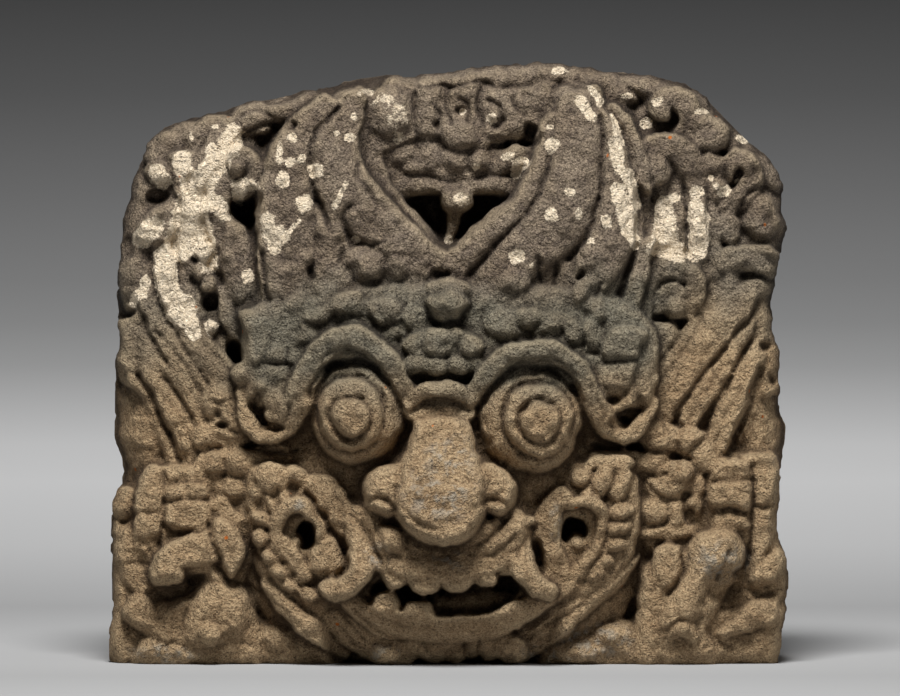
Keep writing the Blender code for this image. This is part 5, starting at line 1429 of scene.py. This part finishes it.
# %% Saw the bed and the back flat
SAW_SIZE = 2.0
SAW_SLACK = 1e-4

bpy.ops.mesh.primitive_cube_add(size=SAW_SIZE, location=(0, BACK_PLANE - SAW_SIZE / 2, SAW_SIZE / 2))
saw = bpy.context.object
cut = stone.modifiers.new("bed_and_back", "BOOLEAN")
cut.operation = "INTERSECT"
cut.solver = "MANIFOLD"
cut.object = saw
bpy.ops.object.select_all(action="DESELECT")
bpy.context.view_layer.objects.active = stone
stone.select_set(True)
bpy.ops.object.modifier_apply(modifier=cut.name)
bpy.data.objects.remove(saw)
print("after sawing:", len(stone.data.polygons), "faces")

# %% Leave out the faces that flat stone doesn't need
# The sides and the back are plain, so they keep few faces and nearly all go to the carving.
PLAIN_DEPTH = 0.012
PLAIN_KEPT = 0.07
MOST_FACES = 192000

faces = stone.data.polygons
for group in (stone.data.vertices, stone.data.edges, faces):
    group.foreach_set("select", [False] * len(group))
centres = np.empty(len(faces) * 3)
faces.foreach_get("center", centres)
plain_face = centres.reshape(-1, 3)[:, 1] > PLAIN_DEPTH
faces.foreach_set("select", plain_face)
bpy.ops.object.mode_set(mode="EDIT")
bpy.ops.mesh.select_mode(type="FACE")
bpy.ops.mesh.decimate(ratio=PLAIN_KEPT)
bpy.ops.object.mode_set(mode="OBJECT")
stone.data.calc_loop_triangles()
print("after thinning the plain sides:", len(stone.data.loop_triangles), "triangles")
thin = stone.modifiers.new("fewer_faces", "DECIMATE")
thin.ratio = min(1.0, MOST_FACES / len(stone.data.loop_triangles))
bpy.ops.object.modifier_apply(modifier=thin.name)
bpy.ops.object.shade_smooth()
for face in stone.data.polygons:
    if face.center.y > BACK_PLANE - SAW_SLACK or face.center.z < SAW_SLACK:
        face.use_smooth = False
stone.data.calc_loop_triangles()
print("kept:", len(stone.data.loop_triangles), "triangles")

# %% [markdown]
# ## Where painted shade, dust, lichen and bare stone lie
# The finish follows the carving: painted shade darkens the hollows, crests are rubbed lighter, and crusts of
# cream lichen grow on the crown. These are painted on the same sheet as the carving, as maps with a value
# from 0 to 1, and each point of the mesh then reads its value. The material turns them into colour and breaks
# up their edges.

# %% Paint the maps
def dab(sheet_map, u, v, ru, rv, value=1.0, turn=0.0):
    """A soft oval of paint."""
    at, d = oval(u, v, ru * 1.5, rv * 1.5, turn)
    sheet_map[at] = np.maximum(sheet_map[at], value * np.clip(1.6 * (1 - np.sqrt(d)), 0, 1))


def streak(sheet_map, points, value=1.0):
    """A soft line of paint through points of (across, down, half width)."""
    line = smooth(points)
    at, d, values = near(line, line[:, 2].max() * 1.5)
    cover = np.clip(1.6 * (1 - d / (1.5 * values[..., 0])), 0, 1)
    sheet_map[at] = np.maximum(sheet_map[at], value * cover)


solid_h = np.where(H > OPEN_GROUND / 2, H, GROUND)
# Painted shade: the hollow map is how far each point lies below the blurred heights round it, and it darkens
# hollows and creases where shade falls.
hollow = np.clip((blur(solid_h, 7.0) - solid_h) / 16 + (blur(solid_h, 2.5) - solid_h) / 7, 0, 1)
crest = np.clip((solid_h - blur(solid_h, 5.0)) / 9, 0, 1)

lichen = np.zeros(H.shape)
LICHEN_STREAKS = ([(232, 130, 10), (222, 150, 12), (208, 172, 14)],
    [(206, 170, 12), (196, 200, 14), (196, 230, 14), (206, 262, 10)],
    [(190, 180, 12), (180, 220, 14), (176, 250, 12)], [(160, 255, 11), (166, 285, 13), (176, 312, 12)],
    [(182, 300, 10), (190, 330, 8)], [(150, 222, 11), (140, 234, 10)], [(168, 244, 9), (160, 256, 9)],
    [(153, 170, 10), (160, 178, 8)], [(178, 158, 11), (184, 176, 9)], [(212, 200, 9), (222, 212, 8)],
    [(344, 178, 3), (330, 205, 3)], [(578, 96, 6), (590, 112, 6)], [(590, 84, 4), (600, 98, 5)],
    [(611, 112, 3), (619, 138, 4)], [(612, 140, 7), (618, 165, 6)],
    [(615, 185, 7), (626, 215, 10), (633, 242, 6)], [(626, 172, 6), (636, 200, 6)],
    [(662, 200, 8), (664, 232, 14)], [(652, 245, 8), (675, 248, 12)],
    [(695, 205, 9), (697, 230, 11), (695, 250, 10)], [(300, 215, 2), (268, 245, 3)], )
LICHEN_SPOTS = ((244, 183, 14, 8), (236, 190, 8, 12), (265, 224, 9, 15), (277, 231, 12, 10),
    (272, 246, 7, 7), (302, 200, 9, 10), (280, 175, 7, 9), (314, 166, 9, 7), (300, 155, 5, 5),
    (288, 158, 5, 6), (277, 150, 4, 12), (290, 135, 6, 6), (349, 133, 6, 5), (335, 130, 4, 3),
    (352, 112, 4, 4), (225, 140, 8, 8), (210, 148, 8, 8), (237, 139, 5, 6), (208, 323, 7, 8),
    (364, 90, 11, 5, 0.62), (380, 97, 14, 8, 0.6), (394, 112, 15, 17, 0.58), (397, 134, 8, 9, 0.6),
    (462, 110, 4, 4), (490, 116, 6, 6), (506, 153, 8, 5), (520, 160, 9, 7), (516, 168, 6, 8),
    (476, 162, 4, 4), (457, 196, 8, 7), (450, 235, 5, 5), (549, 212, 6, 7), (515, 255, 9, 9),
    (531, 265, 3, 4), (549, 122, 5, 3), (568, 188, 6, 6), (549, 213, 7, 7), (576, 209, 5, 6),
    (588, 237, 6, 4), (553, 142, 7, 9), (674, 194, 8, 6), (695, 189, 7, 8), (646, 121, 8, 6),
    (655, 99, 6, 5), (700, 108, 9, 4), (627, 92, 6, 4), (724, 187, 7, 6), (716, 182, 5, 4), (709, 173, 4, 4),
     (736, 178, 4, 3), (708, 215, 4, 4), (136, 292, 8, 6), (142, 280, 6, 9), (130, 300, 5, 5),
    (245, 273, 6, 7), (560, 66, 9, 4), (440, 62, 6, 3), (353, 236, 6, 4), (187, 132, 3, 5), (212, 124, 4, 3),
     (745, 135, 9, 4), (604, 218, 6, 8), )
for points_of_streak in LICHEN_STREAKS:
    streak(lichen, points_of_streak)
for spot in LICHEN_SPOTS:
    dab(lichen, *spot)

dust = np.zeros(H.shape)
for spot in ((440, 490, 30, 24), (448, 455, 22, 18), (545, 662, 26, 14), (600, 640, 30, 14),
    (372, 555, 12, 10), (448, 560, 14, 8), (555, 520, 6, 16), (296, 503, 8, 5), (720, 560, 24, 16),
    (385, 655, 16, 9), (160, 655, 30, 8)):
    dab(dust, *spot)

# The crown's dark weathered skin gives way to bare brown stone along a line that dips at the sides.
SKIN_EDGE = ((100, 330), (170, 345), (240, 350), (330, 345), (449, 345), (570, 345), (640, 330), (700, 285),
    (790, 300))
edge_u, edge_v = np.array(SKIN_EDGE, float).T
above = np.interp(U, edge_u, edge_v) - V
skin = np.clip(0.5 + above / 60 + 0.35 * clouds(spots, 28.0, 41), 0, 1)
GREY_REACH = 78.0
GREY_HALF_WIDTH = 190.0
grey = np.clip(1.6 - 1.6 * np.abs(above - 5) / GREY_REACH + 0.3 * clouds(spots, 22.0, 42), 0, 1)
grey = grey * (1 - 0.55 * np.clip((np.abs(U - 449) - GREY_HALF_WIDTH) / 50, 0, 1))

# %% Give every point its values
def from_sheet(sheet_map, u, v):
    """The map's value at places between its grid points."""
    i = np.clip((u - LEFT) / STEP, 0, columns - 1.001)
    j = np.clip((v - HIGH) / STEP, 0, rows - 1.001)
    i0, j0 = i.astype(int), j.astype(int)
    s, t = i - i0, j - j0
    return ((sheet_map[i0, j0] * (1 - s) + sheet_map[i0 + 1, j0] * s) * (1 - t)
            + (sheet_map[i0, j0 + 1] * (1 - s) + sheet_map[i0 + 1, j0 + 1] * s) * t)


points = read(stone.data)
u, v, h = sheet_place(points)
on_front = np.clip((h + 60) / 60, 0, 1)
wander = 0.5 * clouds(points * 1000, 55.0, 43) * (1 - on_front)
for name, sheet_map, spreads in (("hollow", hollow, False), ("crest", crest, False),
    ("lichen", lichen, False), ("dust", dust, False), ("skin", skin, True), ("grey", grey, True)):
    values = from_sheet(sheet_map, u, v)
    values = np.clip(values + wander, 0, 1) if spreads else values * on_front
    attribute = stone.data.attributes.new(name, "FLOAT", "POINT")
    attribute.data.foreach_set("value", values.astype(np.float32))
    print(name, "covers", round(float(values.mean()) * 100, 1), "% of the points")

# %% Fit the stone to the solid's box
points = read(stone.data)
box_low, box_high = points.min(0), points.max(0)
points = (points - box_low) / (box_high - box_low) * (np.array(high) - np.array(low)) + np.array(low)
print("stretched by", ((np.array(high) - np.array(low)) / (box_high - box_low)).round(4))
write(stone.data, points)

# %% [markdown]
# ## The stone
# The real one is andesite, a volcanic stone: brown-grey, open-grained, full of pinholes, quite dull.
# Freshly broken or rubbed it is tan. On the crown, years of rain have grown a dark skin with cream lichen
# on it. The grain is about 2 mm, the crumbs are about 5 mm and the pinholes about 3 mm. Their scales are
# worked out from those sizes: a noise of scale s has features about 1/s of a metre across. Nearly all light
# is scattered, so the roughness is close to 1, and the IOR is that of rock.

# %% Start the andesite
GRAIN = 0.0019
CRUMB = 0.0048
PINHOLE = 0.0030
PINHOLE_SWAY = 0.0018
RAGGED = 0.008
MOTTLE = 0.011
BLOTCH = 0.045
SPECK_SPACING = 0.016

andesite = bpy.data.materials.new("weathered_andesite")
andesite.use_nodes = True
tree = andesite.node_tree
shader = tree.nodes["Principled BSDF"]
shader.inputs["Roughness"].default_value = 0.93
shader.inputs["Specular IOR Level"].default_value = 0.25
shader.inputs["IOR"].default_value = 1.5
place = add(tree, "ShaderNodeTexCoord").outputs["Object"]

# %% [markdown]
# ## Where each tone of the stone lies
# Everything that tells where a tone lies is a value from 0 to 1. Some values are noises, as coarse as the
# grain, the crumbs or the patches they stand for. Others are the painted maps. A Map Range node then keeps
# the part of a value that matters, so a soft noise can become a sharp-edged crust or a faint mottle.

# %% Noises and painted maps
NOISES = {
    # name: size, detail, roughness, distortion
    "grain": (GRAIN, 3.0, 0.75, 0.0),
    "crumb": (CRUMB, 3.0, 0.65, 0.4),
    "mottle": (MOTTLE, 3.0, 0.60, 0.0),
    "blotch": (BLOTCH, 3.0, 0.60, 0.0),
    "ragged": (RAGGED, 5.0, 0.75, 0.0),
}
part = {}
for name, (size, detail, roughness, distortion) in NOISES.items():
    values = {"Scale": 1 / size, "Detail": detail, "Roughness": roughness, "Distortion": distortion}
    part[name] = add(tree, "ShaderNodeTexNoise", {"Vector": place}, values).outputs["Fac"]
for name in ("hollow", "crest", "lichen", "dust", "skin", "grey"):
    part[name] = add(tree, "ShaderNodeAttribute", attribute_name=name).outputs["Fac"]

# %% Rust specks and pinholes
# Cells scattered by a Voronoi texture are thinned out by chance, and only the middle of a cell is kept.
specks = add(tree, "ShaderNodeTexVoronoi", {"Vector": place}, {"Scale": 1 / SPECK_SPACING})
sway = add(tree, "ShaderNodeTexNoise", {"Vector": place}, {"Scale": 1 / 0.002, "Detail": 1.0})
bent = add(tree, "ShaderNodeVectorMath", {0: sway.outputs["Color"], 2: place}, {1: (PINHOLE_SWAY,) * 3},
           operation="MULTIPLY_ADD")
holes = add(tree, "ShaderNodeTexVoronoi", {"Vector": bent.outputs["Vector"]},
    {"Scale": 1 / PINHOLE, "Randomness": 1.0})
for name, cells, channel in (("speck", specks, "Red"), ("hole", holes, "Green")):
    split = add(tree, "ShaderNodeSeparateColor", {"Color": cells.outputs["Color"]})
    part[name + "_chance"] = split.outputs[channel]
    part[name + "_distance"] = cells.outputs["Distance"]

# %% Shares of each tone
STEPS = (
    # name, what it is read from, the range that is read and the range that it becomes
    ("grain_share", "grain", 0.36, 0.64, 0.0, 1.0),
    ("bare_mottle", "mottle", 0.38, 0.66, 0.0, 0.3),
    ("skin_mottle", "mottle", 0.40, 0.62, 0.0, 0.42),
    ("cream_mottle", "mottle", 0.35, 0.65, 0.0, 0.25),
    ("dust_mottle", "mottle", 0.46, 0.62, 0.0, 0.45),
    ("hole_mottle", "mottle", 0.40, 0.55, 0.25, 1.0),
    ("blotches", "blotch", 0.35, 0.70, 0.0, 0.4),
    ("grey_cast", "grey", 0.0, 1.0, 0.0, 0.9),
    # painted shade in the hollows and creases
    ("hollow_painted_shade", "hollow", 0.0, 1.0, 0.0, 0.8),
    ("rubbed_crest", "crest", 0.0, 1.0, 0.0, 0.24),
    # painted shade in the pits between crumbs, where the bump sinks
    ("crumb_pit_shade", "crumb", 0.47, 0.32, 0.0, 0.4),
    ("crust_gaps", "crumb", 0.30, 0.40, 0.3, 1.0),
    ("ragged_edge", "ragged", 0.25, 0.75, -0.42, 0.34),
    ("few_specks", "speck_chance", 0.972, 0.976, 0.0, 1.0),
    ("speck_middle", "speck_distance", 0.15, 0.10, 0.0, 1.0),
    ("some_holes", "hole_chance", 0.70, 0.80, 0.0, 1.0),
    ("hole_middle", "hole_distance", 0.40, 0.20, 0.0, 1.0),
    # name, the first value, how it meets the second, and the second
    ("dust_cover", "dust", "MULTIPLY", "dust_mottle"),
    ("speck", "few_specks", "MULTIPLY", "speck_middle"),
    ("hole", "some_holes", "MULTIPLY", "hole_middle"),
    ("hole", "hole", "MULTIPLY", "hole_mottle"),
    # painted shade inside the pinholes
    ("pinhole_shade", "hole", 0.0, 1.0, 0.0, 0.6),
    ("crust", "lichen", "ADD", "ragged_edge"),
    ("crust", "crust", 0.44, 0.60, 0.0, 1.0),
    ("crust", "crust", "MULTIPLY", "crust_gaps"),
)
RANGE_SOCKETS = ("From Min", "From Max", "To Min", "To Max")
for name, source, *how in STEPS:
    if len(how) == len(RANGE_SOCKETS):
        values = dict(zip(RANGE_SOCKETS, how))
        part[name] = add(tree, "ShaderNodeMapRange", {"Value": part[source]}, values).outputs["Result"]
    else:
        operation, second = how
        links = {0: part[source], 1: part[second]}
        part[name] = add(tree, "ShaderNodeMath", links, operation=operation).outputs["Value"]
print(len(part), "values steer the stone's tones")

# %% [markdown]
# ## The tones, coat by coat
# A painter of stone would lay the grounds first: tan bare stone, brown weathered skin, green-grey algae and
# cream lichen, each with its dark and light grain. The real coats follow in the order in which they came to
# the block, with painted shade laid among them: skin, damp, painted shade in the hollows, rubbed crests,
# painted shade in the pits between crumbs, dust, lichen, rust specks, and painted shade in the pinholes.

# %% Grounds and coats
GROUNDS = {
    # name: the grain's dark tone and its light one
    "bare": ("#8A7052", "#CBB08A"),
    "dark_skin": ("#52463C", "#A6957F"),
    "green_grey": ("#4B4840", "#8D8774"),
    "cream": ("#C2AF92", "#FBEAD0"),
}
COATS = (
    # what is coated, where the coat lies, its tone or ground, how it is laid on
    ("dark_skin", "skin_mottle", "#4A3F3A", "MIX"),
    ("cream", "cream_mottle", "#BFA98A", "MIX"),
    ("bare", "bare_mottle", "#8F7454", "MIX"),
    ("bare", "skin", "dark_skin", "MIX"),
    ("bare", "grey_cast", "green_grey", "MIX"),
    ("bare", "blotches", "#A08C78", "MULTIPLY"),
    # painted shade: darkens the hollows and creases
    ("bare", "hollow_painted_shade", "#54453A", "MULTIPLY"),
    ("bare", "rubbed_crest", "#D0BB97", "MIX"),
    # painted shade: darkens the pits between crumbs
    ("bare", "crumb_pit_shade", "#6A5A4C", "MULTIPLY"),
    ("bare", "dust_cover", "#AFAEA4", "MIX"),
    ("bare", "crust", "cream", "MIX"),
    ("bare", "speck", "#B5652B", "MIX"),
    # painted shade: darkens the inside of the pinholes
    ("bare", "pinhole_shade", "#33291F", "MIX"),
)
UNDER, OVER = 6, 7
for name, (dark, light) in GROUNDS.items():
    tones = {UNDER: linear(dark), OVER: linear(light)}
    part[name] = add(tree, "ShaderNodeMix", {0: part["grain_share"]}, tones, data_type="RGBA").outputs[2]
for name, where, coat, mode in COATS:
    links = {0: part[where], UNDER: part[name]}
    values = {}
    if coat in part:
        links[OVER] = part[coat]
    else:
        values[OVER] = linear(coat)
    part[name] = add(tree, "ShaderNodeMix", links, values, data_type="RGBA", blend_type=mode).outputs[2]
tree.links.new(part["bare"], shader.inputs["Base Color"])

# %% The relief that is too fine for the mesh
# The same noises make the colour and the bumps: the pits between crumbs and the pinholes are sunk by the
# bumps and darkened with painted shade.
RELIEF = (("grain", 0.5), ("crumb", 2.3), ("mottle", 2.4), ("hole", -0.5), ("crust", 0.2))
BUMP_DEPTH = 0.0036

links = {}
for name, weight in RELIEF:
    links[0] = part[name]
    links[2] = add(tree, "ShaderNodeMath", links, {1: weight, 2: 0.0},
        operation="MULTIPLY_ADD").outputs["Value"]
bump = add(tree, "ShaderNodeBump", {"Height": links[2]}, {"Strength": 1.0, "Distance": BUMP_DEPTH})
tree.links.new(bump.outputs["Normal"], shader.inputs["Normal"])
stone.data.materials.clear()
stone.data.materials.append(andesite)
print("andesite has", len(tree.nodes), "nodes")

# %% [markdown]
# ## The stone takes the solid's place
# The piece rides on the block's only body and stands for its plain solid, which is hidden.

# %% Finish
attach(stone, "root")
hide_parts("kirtimukha_block")
